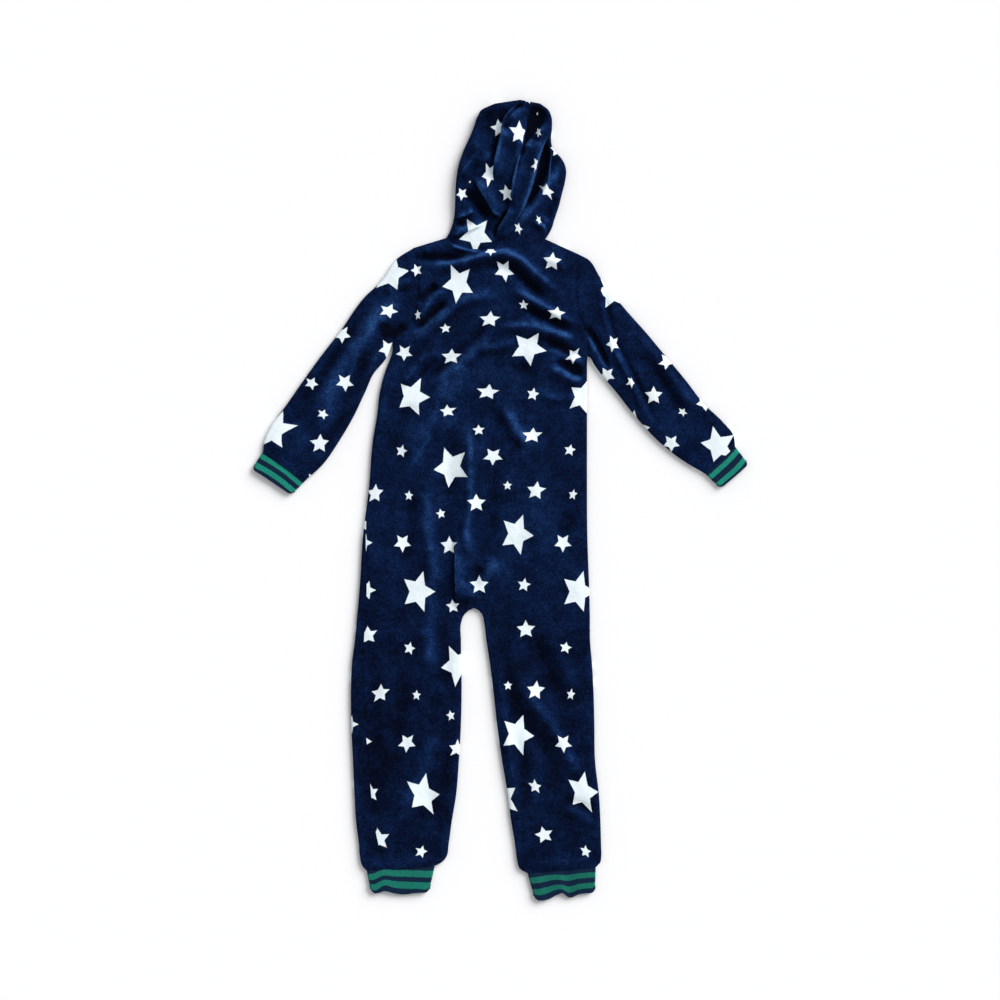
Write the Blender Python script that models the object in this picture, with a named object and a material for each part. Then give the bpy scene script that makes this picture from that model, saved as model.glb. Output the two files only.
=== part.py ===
"""Hooded one-piece pyjama in fleece, laid flat and face down with its back up.

+X runs to the right of someone who looks down on it, +Y towards the hood, and the table is z = 0.
Every panel is a wall of cloth: a grid of points in plan, lifted to the upper or the lower layer of
the laid garment and given its thickness. One rule turns the cloth over at the garment's outline and
one rule raises its folds, so pieces that meet at a seam run on into each other.
"""
import math

import bmesh
import bpy
import numpy as np

MM = 0.001

# Driving dimensions, in millimetres.
WALL = 2.4              # one layer of cloth
SEAM_GAP = 0.46         # between pieces that meet at a seam
EDGE_ROLL = 3.6         # radius over which the cloth turns at the outline
EIGHTH = EDGE_ROLL * (1 - math.cos(math.pi / 4))     # how far in an eighth of that turn reaches
HOOD_ROLL = 7.0         # the same round the hood, which lies fuller
LAID = 8.0              # height of the two layers where they lie flat
LOWEST = 7.4            # least height of the upper layer, at the bottom of a trough
FOLD_FADE = 16.0        # distance from the outline over which folds rise to full height

CROTCH_Y = -162.0
ARMPIT_Y = {-1: 236.0, 1: 216.0}
YOKE_Y = 226.0
ARMHOLE_TOP = {-1: (-129.0, 378.0), 1: (118.5, 368.0)}
NECK_CORNER = {-1: (-80.0, 393.0), 1: (68.0, 391.0)}
BACK_NECK_Y = 375.0
FRONT_NECK_Y = 345.0
LEG_HEM_Y = {-1: (-549.0, -543.0), 1: (-540.0, -552.0)}     # at the outer and the inner edge
CROWN = (30.0, 599.5)
CROWN_SIDE_Y = 594.0

ZIP_END_Y = -60.0
ZIP_TOP_Y = 330.0
ZIP_HALF_GAP = 6.0
FACE_HALF_WIDTH = 28.0

BACK_COLUMNS = 12       # points across one half of the back, and across a sleeve
FRONT_COLUMNS = 8       # points across one front, and across each layer of a hood half
CUFF_ROLL = 3.3
CUFF_LAID = 6.9
CUFF_CLEAR = 0.4        # from the seam line to the cuff
SAME_POINT = 0.2        # within this of a notch, a point takes the notch's way out


def table(names, *rows):
    """Return the rows of a table as one array for each named column."""
    return dict(zip(names.split(), np.array(rows, float).T))


# The garment lies unevenly, so each edge has its own x.
TORSO = table(
    "y left centre right",
    (375, -161, -6.0, 131.0), (300, -161, -8.0, 131.0), (236, -161, -13.0, 131.0),
    (224, -161, -14.0, 131.0), (210, -165, -16.0, 130.7), (198, -170, -17.0, 130.5),
    (162, -180, -21.0, 130.5), (126, -184.5, -26.0, 130.5),
    (90, -190.5, -30.0, 130.5), (18, -196.5, -34.0, 130.5), (-54, -205.5, -37.0, 131.0),
    (-126, -210, -39.0, 133.5), (-162, -213, -39.0, 134.5), (-210, -217.5, -39.0, 135.0))
LEGS = table(
    "y left_out left_in right_in right_out",
    (-162, -213.0, -39.0, -39.0, 134.5), (-166, -213.5, -48.0, -31.0, 134.5),
    (-171, -214.0, -53.0, -27.0, 134.7), (-183, -215.0, -58.0, -24.0, 134.8),
    (-210, -217.5, -58.5, -20.5, 135.0), (-246, -222.0, -58.0, -15.0, 138.0),
    (-282, -223.5, -57.5, -10.5, 140.0), (-336, -223.0, -58.5, -4.5, 141.5),
    (-390, -220.5, -61.5, 3.0, 142.5), (-444, -218.0, -66.0, 12.0, 148.5),
    (-480, -216.0, -72.0, 16.5, 150.5), (-516, -211.5, -77.0, 22.5, 151.5),
    (-552, -206.5, -87.0, 31.5, 145.0))
ARMHOLE = {
    -1: table("y x", (236, -161), (245, -153), (254, -144), (266, -135), (279, -128), (291, -125),
              (312, -122), (348, -123), (378, -129)),
    1: table("y x", (216, 131), (230, 133), (245, 131), (261, 127), (273, 119.5), (291, 115.5),
             (306, 114), (338, 115.5), (368, 118.5))}
SLEEVE = {
    -1: {"outer": table("x y", (-129, 378), (-156, 360), (-178, 328), (-203, 304), (-240, 252),
                        (-268, 216), (-294, 180), (-319, 144), (-345, 108), (-353, 90), (-355.5, 72)),
         "inner": table("x y", (-161, 236), (-170, 233), (-176, 225), (-180, 210), (-187, 196),
                        (-202, 162), (-219, 126), (-240, 90), (-265, 54), (-294, 27))},
    1: {"outer": table("x y", (118.5, 368), (133, 360), (150, 334), (186, 288), (218, 252),
                       (248, 216), (278, 180), (306, 144), (334, 117), (350, 97), (352.5, 80)),
        "inner": table("x y", (131, 216), (136, 212.5), (140, 205), (146, 196), (174, 162),
                       (202.5, 126), (235.5, 90), (270, 62), (308, 39))}}
HOOD = table(
    "y left right",
    (391, -81.0, 68.0), (393, -80.0, 69.5), (405, -74.0, 76.5), (423, -69.0, 82.5),
    (441, -67.5, 88.5), (459, -67.0, 93.0), (477, -66.0, 97.5), (495, -63.5, 99.0),
    (504, -61.5, 96.5), (513, -58.5, 91.0), (525, -54.0, 80.0), (540, -47.0, 76.5),
    (558, -39.5, 78.0), (576, -33.0, 76.5), (585, -27.0, 72.0), (594, -7.5, 60.0))
HOOD_SEAM = table(
    "y x", (375, -6), (410, 4), (440, 12), (477, 20), (520, 32), (560, 36), (599.5, 30))
BACK_NECK = table(
    "x y", (-80, 393), (-64, 380), (-42, 376), (-6, 375), (20, 376.5), (45, 382.5), (68, 391))
SIDE_ROLL = table(      # how far the left leg's side seam has rolled on to the top
    "y over", (-552, 34), (-505, 28), (-440, 25), (-360, 22), (-204, 13.5), (-150, 12), (-90, 7.5),
    (0, 0), (400, 0))
CUFFS = {               # end points of the seam and of the hem, outer edge first
    "wrist_cuff_left": ((-355.5, 72.0), (-294.0, 27.0), (-372.0, 46.5), (-313.0, 7.5)),
    "wrist_cuff_right": ((352.5, 80.0), (308.0, 39.0), (372.0, 54.5), (330.0, 18.0)),
    "ankle_cuff_left": ((-200.0, -548.6), (-98.0, -543.57), (-193.5, -588.0), (-106.5, -588.0)),
    "ankle_cuff_right": ((143.5, -540.15), (41.0, -550.98), (142.5, -588.5), (52.5, -599.65))}

# Broad swells of the upper layer, over the two layers laid flat.
SWELLS = (
    # height, x, y, spread in x, spread in y
    (11.0, 12, 490, 62, 95),
    (3.5, -5, 325, 120, 75),
    (2.0, -40, 80, 130, 170),
    (2.0, -140, -530, 50, 30),
    (2.0, 90, -530, 50, 30),
    (2.5, -250, 200, 60, 70),
    (2.5, 235, 200, 60, 70),
    (2.0, -325, 75, 28, 28),
    (2.0, 325, 80, 28, 28))

# Folds of the upper layer: height (negative for a trough), spread on the left and on the right of
# the course as it is travelled, and the course as points in x and y.
FOLDS = (
    # hood
    (6.0, 9, 9, ((45, 600), (19, 579), (7, 562), (-9, 502))),
    (-9.0, 11, 11, ((39, 580), (38, 555), (34, 518))),
    (7.0, 10, 9, ((76, 567), (34, 520), (19, 477), (12, 439), (-5, 400))),
    (-5.0, 10, 10, ((66, 520), (60, 490), (50, 440), (38, 415))),
    (5.0, 10, 11, ((78, 523), (73, 487), (63, 460), (45, 433), (27, 400), (-3, 385))),
    (4.5, 9, 9, ((-40, 480), (-34, 472), (-13, 439), (0, 426))),
    (-4.5, 8, 8, ((12, 432), (-3, 408), (-9, 390))),
    (4.0, 8, 8, ((-82, 394), (-48, 402), (-25, 410))),
    # yoke and upper back
    (-2.5, 9, 9, ((-135, 362), (-110, 364), (-76, 360))),
    (6.0, 11, 11, ((-112, 345), (-80, 356), (-45, 359), (-7, 367), (20, 367), (46, 354), (73, 330),
                   (99, 304))),
    (5.0, 13, 13, ((-127, 253), (-106, 268), (-75, 291), (-45, 304), (-7, 309), (36, 301), (73, 288),
                   (108, 264), (118, 247))),
    (3.0, 9, 9, ((-123, 279), (-105, 297), (-88, 315))),
    (3.5, 9, 9, ((-140, 228), (-110, 250), (-88, 268))),
    (3.5, 10, 10, ((6, 255), (46, 258), (88, 247), (115, 236))),
    (4.0, 11, 11, ((-93, 165), (-66, 189), (-45, 199), (-7, 226))),
    (-3.0, 10, 10, ((73, 216), (98, 204), (112, 192), (129, 187))),
    # sleeves
    (3.5, 10, 10, ((138, 328), (142, 304), (147, 276), (163, 225), (190, 172), (230, 92))),
    (-2.5, 8, 8, ((150, 328), (156, 300), (163, 265), (178, 225), (206, 172), (244, 92))),
    (-3.0, 7, 7, ((125, 268), (140, 240), (160, 207))),
    (3.0, 11, 11, ((-150, 300), (-190, 262), (-240, 190), (-300, 105))),
    # torso
    (4.0, 9, 9, ((-50, 124), (-46, 81), (-46, -16), (-52, -51), (-44, -87), (-46, -110))),
    (3.5, 10, 10, ((-92, 32), (-108, -6), (-108, -45), (-102, -100), (-105, -135))),
    (3.0, 10, 10, ((-98, 138), (-118, 100), (-146, 60))),
    (3.0, 9, 9, ((-66, 130), (-80, 108), (-96, 86))),
    (3.0, 10, 10, ((4, 138), (20, 102), (46, 76))),
    (5.0, 10, 10, ((-62, -152), (-36, -142), (-14, -114), (0, -86))),
    (6.5, 20, 4, ((-66, -48), (-65, -110), (-64, -168))),
    # legs
    (3.0, 12, 12, ((-111, -190), (-112, -225), (-108, -256))),
    (3.5, 14, 14, ((-100, -330), (-106, -366), (-117, -402), (-160, -490))),
    (4.0, 11, 11, ((18, -255), (48, -303), (75, -336), (100, -382), (120, -420))),
    (-1.5, 12, 12, ((64, -378), (76, -405), (88, -436))),
    (3.0, 8, 8, ((102, -464), (120, -475), (144, -488))),
    (3.0, 8, 8, ((-12, -215), (-2, -282), (12, -380), (26, -474))))


def curve(tab, across, along, at):
    """Read one column of a table at places along another, on a smooth curve through its rows."""
    order = np.argsort(tab[along])
    knots = tab[along][order]
    values = tab[across][order]
    slopes = np.gradient(values, knots)
    at = np.clip(np.asarray(at, float), knots[0], knots[-1])
    first = np.clip(np.searchsorted(knots, at) - 1, 0, len(knots) - 2)
    step = knots[first + 1] - knots[first]
    t = (at - knots[first]) / step
    rise = values[first + 1] - values[first]
    start = slopes[first] * step
    end = slopes[first + 1] * step
    bend = 3 * rise - 2 * start - end
    return values[first] + t * start + t ** 2 * bend + t ** 3 * (start + end - 2 * rise)


def smoothstep(t):
    """Rise from 0 to 1 with level ends."""
    t = np.clip(t, 0, 1)
    return t * t * (3 - 2 * t)


def mix(a, b, t):
    """Blend from a to b."""
    return a + (b - a) * t


def path_point(tab, fraction):
    """Point at a fraction of the length of a table's line of x, y points."""
    points = np.stack([tab["x"], tab["y"]], axis=1)
    lengths = np.concatenate(([0], np.cumsum(np.linalg.norm(np.diff(points, axis=0), axis=1))))
    along = {"length": lengths, "x": tab["x"], "y": tab["y"]}
    place = fraction * lengths[-1]
    return np.array([curve(along, "x", "length", place), curve(along, "y", "length", place)])


# ---------------------------------------------------------------- the outline and the heights

def side_line(side, count=260):
    """Edge of the body and leg on one side, from the ankle hem up to the armpit."""
    leg = "left_out" if side < 0 else "right_out"
    torso = "left" if side < 0 else "right"
    ys = np.linspace(LEG_HEM_Y[side][0], ARMPIT_Y[side], count)
    xs = np.where(ys < CROTCH_Y, curve(LEGS, leg, "y", ys), curve(TORSO, torso, "y", ys))
    line = np.stack([xs, ys], axis=1)
    line[-1] = path_point(SLEEVE[side]["inner"], 0)
    return line


def inner_leg_line(side):
    """Inside edge of one leg, from the crotch down to the ankle hem."""
    column = "left_in" if side < 0 else "right_in"
    ys = np.concatenate((np.linspace(CROTCH_Y, -190, 40), np.linspace(-191, LEG_HEM_Y[side][1], 120)))
    return np.stack([curve(LEGS, column, "y", ys), ys], axis=1)


def sleeve_line(side, edge):
    """Edge of a sleeve from the body to the wrist."""
    return np.array([path_point(SLEEVE[side][edge], f) for f in np.linspace(0, 1, 160)])


def hood_line(side, count=160):
    """Edge of the hood from the neck corner up to the crown."""
    ys = np.linspace(NECK_CORNER[side][1], CROWN_SIDE_Y, count)
    line = np.stack([curve(HOOD, "left" if side < 0 else "right", "y", ys), ys], axis=1)
    line[0] = NECK_CORNER[side]
    return line


def garment_outlines():
    """The turned edges of the garment, each with the cloth on its right."""
    over = np.vstack([
        sleeve_line(-1, "outer")[::-1], hood_line(-1), [CROWN], hood_line(1)[::-1],
        sleeve_line(1, "outer")])
    return [
        np.vstack([side_line(-1)[:-1], sleeve_line(-1, "inner")]),
        over,
        np.vstack([sleeve_line(1, "inner")[::-1], side_line(1)[:-1][::-1]]),
        np.vstack([inner_leg_line(1)[::-1], inner_leg_line(-1)[1:]])]


class Outline:
    """Turned edges in plan, which tell how far in a point lies and which way is out.

    At the point of a notch the way out is given, along the seam that ends there.
    """

    def __init__(self, lines, notches=()):
        self.notches = notches
        starts, ends, start_out, end_out = [], [], [], []
        for line in lines:
            steps = np.diff(line, axis=0)
            out = np.stack([-steps[:, 1], steps[:, 0]], axis=1)
            out /= np.linalg.norm(out, axis=1, keepdims=True)
            corner = np.vstack([out[:1], out[:-1] + out[1:], out[-1:]])
            corner /= np.linalg.norm(corner, axis=1, keepdims=True)
            starts.append(line[:-1])
            ends.append(line[1:])
            start_out.append(corner[:-1])
            end_out.append(corner[1:])
        self.start = np.vstack(starts)
        self.step = np.vstack(ends) - self.start
        self.start_out = np.vstack(start_out)
        self.end_out = np.vstack(end_out)

    def nearest(self, plan):
        """Distance to the edge, and the unit direction out of the cloth there."""
        away = plan[:, None, :] - self.start[None]
        t = np.clip((away * self.step).sum(2) / (self.step ** 2).sum(1), 0, 1)
        distance = np.linalg.norm(away - t[..., None] * self.step, axis=2)
        best = distance.argmin(axis=1)
        every = np.arange(len(plan))
        distance = distance[every, best]
        t = t[every, best][:, None]
        out = mix(self.start_out[best], self.end_out[best], t)
        inside = distance > SAME_POINT
        out[inside] = (self.start[best] + t * self.step[best] - plan)[inside]
        for point, direction in self.notches:
            out[np.linalg.norm(plan - point, axis=1) < SAME_POINT] = direction
        out /= np.linalg.norm(out, axis=1, keepdims=True)
        return np.maximum(distance - 0.1, 0), out


def fold_height(plan, height, left, right, course):
    """Height that one fold adds at each point: a soft ridge or trough with tapered ends."""
    course = np.array(course, float)
    steps = np.diff(course, axis=0)
    lengths = np.linalg.norm(steps, axis=1)
    before = np.concatenate(([0], np.cumsum(lengths)))
    away = plan[:, None, :] - course[:-1][None]
    t = np.clip((away * steps).sum(2) / lengths ** 2, 0, 1)
    gap = away - t[..., None] * steps
    distance = np.linalg.norm(gap, axis=2)
    best = distance.argmin(axis=1)
    every = np.arange(len(plan))
    turn = steps[best, 0] * gap[every, best, 1] - steps[best, 1] * gap[every, best, 0]
    along = (before[best] + t[every, best] * lengths[best]) / before[-1]
    taper = smoothstep(np.minimum(along, 1 - along) / 0.28)
    spread = np.where(turn > 0, left, right)
    return height * taper * np.exp(-(distance[every, best] / spread) ** 2)


def laid_height(plan):
    """Height of the upper layer away from the outline."""
    height = np.full(len(plan), LAID)
    for rise, x, y, spread_x, spread_y in SWELLS:
        height += rise * np.exp(-((plan[:, 0] - x) / spread_x) ** 2 - ((plan[:, 1] - y) / spread_y) ** 2)
    for fold in FOLDS:
        height += fold_height(plan, *fold)
    return np.maximum(height, LOWEST)


def roll_radius(y):
    """Radius of the turned edge: fuller round the hood."""
    return EDGE_ROLL + (HOOD_ROLL - EDGE_ROLL) * smoothstep((np.asarray(y) - 400) / 60)


def lift(plan, upper, outline, roll=None, laid=None):
    """Raise plan points to a layer. Returns the outer points and the directions out of the cloth."""
    plan = np.asarray(plan, float).reshape(-1, 2)
    distance, out = outline.nearest(plan)
    roll = roll_radius(plan[:, 1]) if roll is None else np.full(len(plan), roll)
    lean = 1 - np.minimum(distance / roll, 1)
    rise = np.sqrt(1 - lean ** 2)
    if upper:
        tall = laid_height(plan) if laid is None else np.full(len(plan), laid)
        z = roll * (1 + rise) + (tall - 2 * roll) * smoothstep(distance / FOLD_FADE)
    else:
        z = roll * (1 - rise)
        rise = -rise
    points = np.column_stack([plan, z])
    normals = np.column_stack([out * lean[:, None], rise])
    return points, normals


# ---------------------------------------------------------------- walls of cloth

class Sheet:
    """The outer face of a piece of cloth, gathered from grids that share the points where they meet."""

    def __init__(self):
        self.points = []
        self.normals = []
        self.faces = []
        self.known = {}

    def point(self, place, normal):
        """Number of the point at a place, which is new or met already."""
        key = tuple(np.round(place, 3) + 0.0)
        if key not in self.known:
            self.known[key] = len(self.points)
            self.points.append(np.array(place))
            self.normals.append(np.array(normal))
        return self.known[key]

    def grid(self, plan, upper, outline, roll=None, laid=None):
        """Add a grid of plan points, lifted to the upper or the lower layer."""
        plan = np.asarray(plan, float)
        rows, columns = plan.shape[:2]
        points, normals = lift(plan, upper, outline, roll, laid)
        ids = [self.point(p, n) for p, n in zip(points, normals)]
        ids = np.array(ids).reshape(rows, columns)
        for i in range(rows - 1):
            for j in range(columns - 1):
                ring = (ids[i, j], ids[i, j + 1], ids[i + 1, j + 1], ids[i + 1, j])
                face = [v for k, v in enumerate(ring) if v != ring[k - 1]]
                if len(set(face)) == len(face) and len(face) > 2:
                    self.faces.append(face if upper else face[::-1])

    def rim(self):
        """Edges of one face only, each with that face."""
        owners = {}
        for face in self.faces:
            for a, b in zip(face, face[1:] + face[:1]):
                owners.setdefault(frozenset((a, b)), []).append((a, b, face))
        return [entry[0] for entry in owners.values() if len(entry) == 1]

    def wall(self, thickness=WALL):
        """Points and faces of the closed wall, with its rim drawn in by half a seam's gap."""
        points = np.array(self.points)
        normals = np.array(self.normals)
        inward = np.zeros_like(points)
        rim = self.rim()
        for a, b, face in rim:
            along = points[b] - points[a]
            along /= np.linalg.norm(along)
            middle = points[list(face)].mean(axis=0) - points[a]
            across = middle - along * middle.dot(along)
            across /= np.linalg.norm(across)
            inward[a] += across
            inward[b] += across
        length = np.linalg.norm(inward, axis=1)
        moved = length > 0
        stretch = np.minimum(2 / np.maximum(length[moved], 0.1), 1.6)
        points[moved] += (inward[moved] / length[moved][:, None]) * (SEAM_GAP / 2 * stretch)[:, None]
        points[:, 2] = np.maximum(points[:, 2], 0)
        inner = points - thickness * normals
        count = len(points)
        faces = [list(face) for face in self.faces]
        faces += [[v + count for v in reversed(face)] for face in self.faces]
        faces += [[b, a, a + count, b + count] for a, b, face in rim]
        return np.vstack([points, inner]), faces


def material(name, colour, roughness, metallic=0.0):
    """A plain Principled material."""
    made = bpy.data.materials.new(name)
    made.use_nodes = True
    shader = made.node_tree.nodes["Principled BSDF"]
    shader.inputs["Base Color"].default_value = (*colour, 1.0)
    shader.inputs["Roughness"].default_value = roughness
    shader.inputs["Metallic"].default_value = metallic
    made.diffuse_color = (*colour, 1.0)
    return made


def solid(name, points, faces, colour, roughness=0.9, metallic=0.0):
    """Make one closed solid from points in millimetres."""
    mesh = bpy.data.meshes.new(name)
    mesh.from_pydata((np.asarray(points) * MM).tolist(), [], faces)
    shape = bmesh.new()
    shape.from_mesh(mesh)
    bmesh.ops.recalc_face_normals(shape, faces=shape.faces)
    shape.to_mesh(mesh)
    shape.free()
    mesh.shade_smooth()
    mesh.set_sharp_from_angle(angle=math.radians(50))
    mesh.materials.append(material(name, colour, roughness, metallic))
    made = bpy.data.objects.new(name, mesh)
    bpy.context.scene.collection.objects.link(made)
    return made


NAVY = (0.004, 0.011, 0.045)
RIB_NAVY = (0.011, 0.023, 0.069)
TAPE_NAVY = (0.008, 0.015, 0.05)
COIL = (0.01, 0.018, 0.06)
STEEL = (0.55, 0.56, 0.58)


# ---------------------------------------------------------------- plan grids

def spread(width, outer, inner, count, roll):
    """Offsets across a strip, where outer and inner crowd its end columns into the turned edges."""
    near = roll * (1 - math.cos(math.pi / 4))
    even = np.linspace(0, width, count)
    first = mix(even[1], near, outer)
    second = mix(even[2], roll, outer)
    last = mix(even[1], near, inner)
    next_last = mix(even[2], roll, inner)
    middle = np.linspace(second, width - next_last, count - 4)
    return np.concatenate(([0, first], middle, [width - last, width]))


def strip_row(outer, inner, over, outer_roll, inner_roll, count):
    """One row of plan points from the outer to the inner point of a strip."""
    outer = np.asarray(outer, float)
    inner = np.asarray(inner, float)
    width = np.linalg.norm(inner - outer)
    crowd = outer_roll * (1 - smoothstep(over / (2 * EDGE_ROLL)))
    offsets = over + spread(width - over, crowd, inner_roll, count, EDGE_ROLL)
    return outer + np.outer(offsets / width, inner - outer)


def zip_half_gap(y):
    """Half of the gap between the fronts: a closed seam below the zip, open beside it."""
    return ZIP_HALF_GAP * np.clip((y - ZIP_END_Y + 12) / 10, 0, 1)


def centre_x(y):
    """Centre line of the back, and of the zip."""
    return float(curve(TORSO, "centre", "y", y))


def rolled_over(side, y):
    """Width of the front that has rolled on to the top at the outer edge."""
    return float(np.interp(y, SIDE_ROLL["y"], SIDE_ROLL["over"])) if side < 0 else 0.0


def leg_row(side, down):
    """Ends of a row across one leg, at a distance below the crotch."""
    total = CROTCH_Y - min(LEG_HEM_Y[side])
    share = down / total
    outer_y = CROTCH_Y - share * (CROTCH_Y - LEG_HEM_Y[side][0])
    inner_y = CROTCH_Y - share * (CROTCH_Y - LEG_HEM_Y[side][1])
    names = ("left_out", "left_in") if side < 0 else ("right_out", "right_in")
    outer = (float(curve(LEGS, names[0], "y", outer_y)), outer_y)
    inner = (float(curve(LEGS, names[1], "y", inner_y)), inner_y)
    return outer, inner


def torso_row(side, up, front):
    """Ends of a row across one half of the torso, at a share of the way from the crotch to the armpit."""
    outer_y = mix(CROTCH_Y, ARMPIT_Y[side], up)
    inner_y = mix(CROTCH_Y, YOKE_Y, up)
    outer = (float(curve(TORSO, "left" if side < 0 else "right", "y", outer_y)), outer_y)
    if up == 1:
        outer = tuple(path_point(SLEEVE[side]["inner"], 0))
    gap = side * zip_half_gap(inner_y) if front else 0
    return outer, (centre_x(inner_y) + gap, inner_y)


def neck_points(side, front):
    """Plan points along one half of the neck seam, from the corner to the centre."""
    corner = np.array(NECK_CORNER[side])
    end_y = FRONT_NECK_Y if front else BACK_NECK_Y
    end_x = centre_x(end_y) + (side * ZIP_HALF_GAP if front else 0)
    start = corner[0] - side * EDGE_ROLL
    rest = np.linspace(start, end_x, 4 if front else 6)
    xs = np.concatenate(([corner[0], corner[0] - side * EIGHTH], rest))
    if front:
        share = (xs - corner[0]) / (end_x - corner[0])
        ys = corner[1] - (corner[1] - end_y) * (1 - (1 - share) ** 1.6)
    else:
        ys = np.interp(xs, BACK_NECK["x"], BACK_NECK["y"])
    ys[0] = corner[1]
    return np.stack([xs, ys], axis=1)


def armhole_steps():
    """Shares of the armhole's height at which rows of the body meet it."""
    tall = ARMHOLE_TOP[-1][1] - ARMPIT_Y[-1]
    near = EIGHTH / tall
    roll = EDGE_ROLL / tall
    middle = np.linspace(roll, 1 - roll, BACK_COLUMNS - 4)
    return np.concatenate(([0, near], middle, [1 - near, 1]))


def armhole_point(side, up):
    """Plan point on the armhole seam, at a share of its height above the armpit."""
    if up == 0:
        return path_point(SLEEVE[side]["inner"], 0)
    if up == 1:
        return np.array(ARMHOLE_TOP[side])
    y = mix(ARMPIT_Y[side], ARMHOLE_TOP[side][1], up)
    return np.array([float(np.interp(y, ARMHOLE[side]["y"], ARMHOLE[side]["x"])), y])


def notches():
    """Points where three pieces meet at a notch, each with the way out along their seams."""
    found = []
    for side in (-1, 1):
        armpit = armhole_point(side, 0)
        found.append((armpit, armpit - armhole_point(side, 0.05)))
        back, front = neck_points(side, False), neck_points(side, True)
        found.append((back[0], 2 * back[0] - back[1] - front[1]))
    return found


def yoke_row(side, up, front, base):
    """Row of the yoke, from the armpit level, where it is straight, to the shoulder and neck."""
    count = len(base)
    neck = neck_points(side, front)
    corner = neck[0]
    shoulder = np.linspace(ARMHOLE_TOP[side], corner, count - len(neck) + 1)[:-1]
    top = np.vstack([shoulder, neck])
    edge = armhole_point(side, up)
    inner_y = mix(base[-1, 1], top[-1, 1], up)
    gap = side * ZIP_HALF_GAP if front else 0
    inner_x = centre_x(inner_y) + gap
    low = (base[:, 0] - base[0, 0]) / (base[-1, 0] - base[0, 0])
    even = spread(1, 0, 0, count, 0)
    high = (top[:, 0] - top[0, 0]) / (top[-1, 0] - top[0, 0])
    share = mix(mix(low, even, min(up / 0.12, 1)), high, up ** 1.5) if up < 1 else high
    xs = mix(edge[0], inner_x, share)
    ys = mix(base[:, 1], top[:, 1], up)
    return np.stack([xs, ys], axis=1)


def body_half(side, front):
    """Plan grid of one half of the body, from the ankle hem to the neck."""
    count = FRONT_COLUMNS if front else BACK_COLUMNS
    total = CROTCH_Y - min(LEG_HEM_Y[side])
    downs = np.concatenate((np.linspace(total, 42, 13), [21, 9, EIGHTH, 0]))
    rows = []
    for down in downs:
        outer, inner = leg_row(side, down)
        over = rolled_over(side, outer[1])
        rows.append(strip_row(outer, inner, 0 if front else over, 1, 1, count))
    torso = YOKE_Y - CROTCH_Y
    for height in np.concatenate(([EIGHTH, EDGE_ROLL, 14, 32], np.linspace(54, torso, 16))):
        up = height / torso
        outer, inner = torso_row(side, up, front)
        over = rolled_over(side, outer[1])
        centre_roll = 1 - smoothstep((height - EDGE_ROLL) / 50)
        rows.append(strip_row(outer, inner, 0 if front else over, 1, centre_roll, count))
    base = rows[-1]
    rows += [yoke_row(side, up, front, base) for up in armhole_steps()[1:]]
    return np.array(rows)


def front_strip():
    """Plan grid of the strip of the left front that has rolled on to the top along the leg."""
    rows = []
    for edge, seam in zip(body_half(-1, True)[:, 0], body_half(-1, False)[:, 0]):
        width = np.linalg.norm(seam - edge)
        if width < 0.01:
            rows.append(np.array([edge] * 4))
            break
        near = min(EIGHTH, 0.3 * width)
        roll = min(EDGE_ROLL, 0.7 * width)
        rows.append(edge + np.outer(np.array([0, near, roll, width]) / width, seam - edge))
    return np.array(rows)


def sleeve_plan(side):
    """Plan grid of a sleeve: rows from the armhole to the wrist, columns from the outer edge."""
    ups = armhole_steps()[::-1]
    armhole = np.array([armhole_point(side, up) for up in ups])
    straight = mix(armhole[0], armhole[-1], (1 - ups)[:, None])
    rows = []
    for k, along in enumerate(np.linspace(0, 1, 12)):
        outer = path_point(SLEEVE[side]["outer"], along)
        inner = path_point(SLEEVE[side]["inner"], along)
        width = np.linalg.norm(inner - outer)
        even = spread(width, 1, 1, BACK_COLUMNS, EDGE_ROLL) / width
        keep = max(0.0, 1 - along / 0.3) ** 1.5
        share = mix(even, 1 - ups, keep)
        inside = 1 if k == 0 else 4 * share * (1 - share)
        bow = (armhole - straight) * np.reshape(inside, (-1, 1))
        rows.append(mix(outer, inner, share[:, None]) + keep * bow)
    return np.array(rows)


def hood_row(side, up, front):
    """Row of one layer of a hood half, from the turned edge to the centre seam or the face edge."""
    neck = neck_points(side, front)
    if front:
        neck = neck[[0, 1, 2, 3, 3, 4, 4, 5]]
    if up == 0:
        return neck
    edge_y = mix(NECK_CORNER[side][1], CROWN_SIDE_Y, up)
    edge = np.array([float(curve(HOOD, "left" if side < 0 else "right", "y", edge_y)), edge_y])
    if front:
        open_up = math.sin(math.pi * min(up / 0.8, 1)) ** 0.7 if up < 0.8 else 0.0
        closing = ZIP_HALF_GAP * float(1 - smoothstep((up - 0.7) / 0.1))
        half = closing + (FACE_HALF_WIDTH - ZIP_HALF_GAP) * open_up
        middle = mix(np.array([centre_x(FRONT_NECK_Y), FRONT_NECK_Y]), np.array(CROWN), up)
        end = middle + [side * half, 0]
    else:
        end_y = mix(BACK_NECK_Y, CROWN[1], up)
        end = np.array([float(curve(HOOD_SEAM, "x", "y", end_y)), end_y])
    start = neck[0]
    along = (neck[:, 0] - start[0]) / (neck[-1, 0] - start[0])
    width = np.linalg.norm(end - edge)
    crowded = spread(width, 1, 0, FRONT_COLUMNS, float(roll_radius(edge_y))) / width
    share = mix(along, crowded, min(up / 0.12, 1))
    bow = neck - (start + np.outer(along, neck[-1] - start))
    return edge + np.outer(share, end - edge) + bow * (1 - up) ** 3


HOOD_STEPS = (0, 0.02, 0.1, 0.2, 0.3, 0.4, 0.5, 0.6, 0.7, 0.79, 0.87, 0.93, 0.969, 0.991, 1)
CUFF_COLUMNS = 10


# ---------------------------------------------------------------- the pieces

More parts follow.
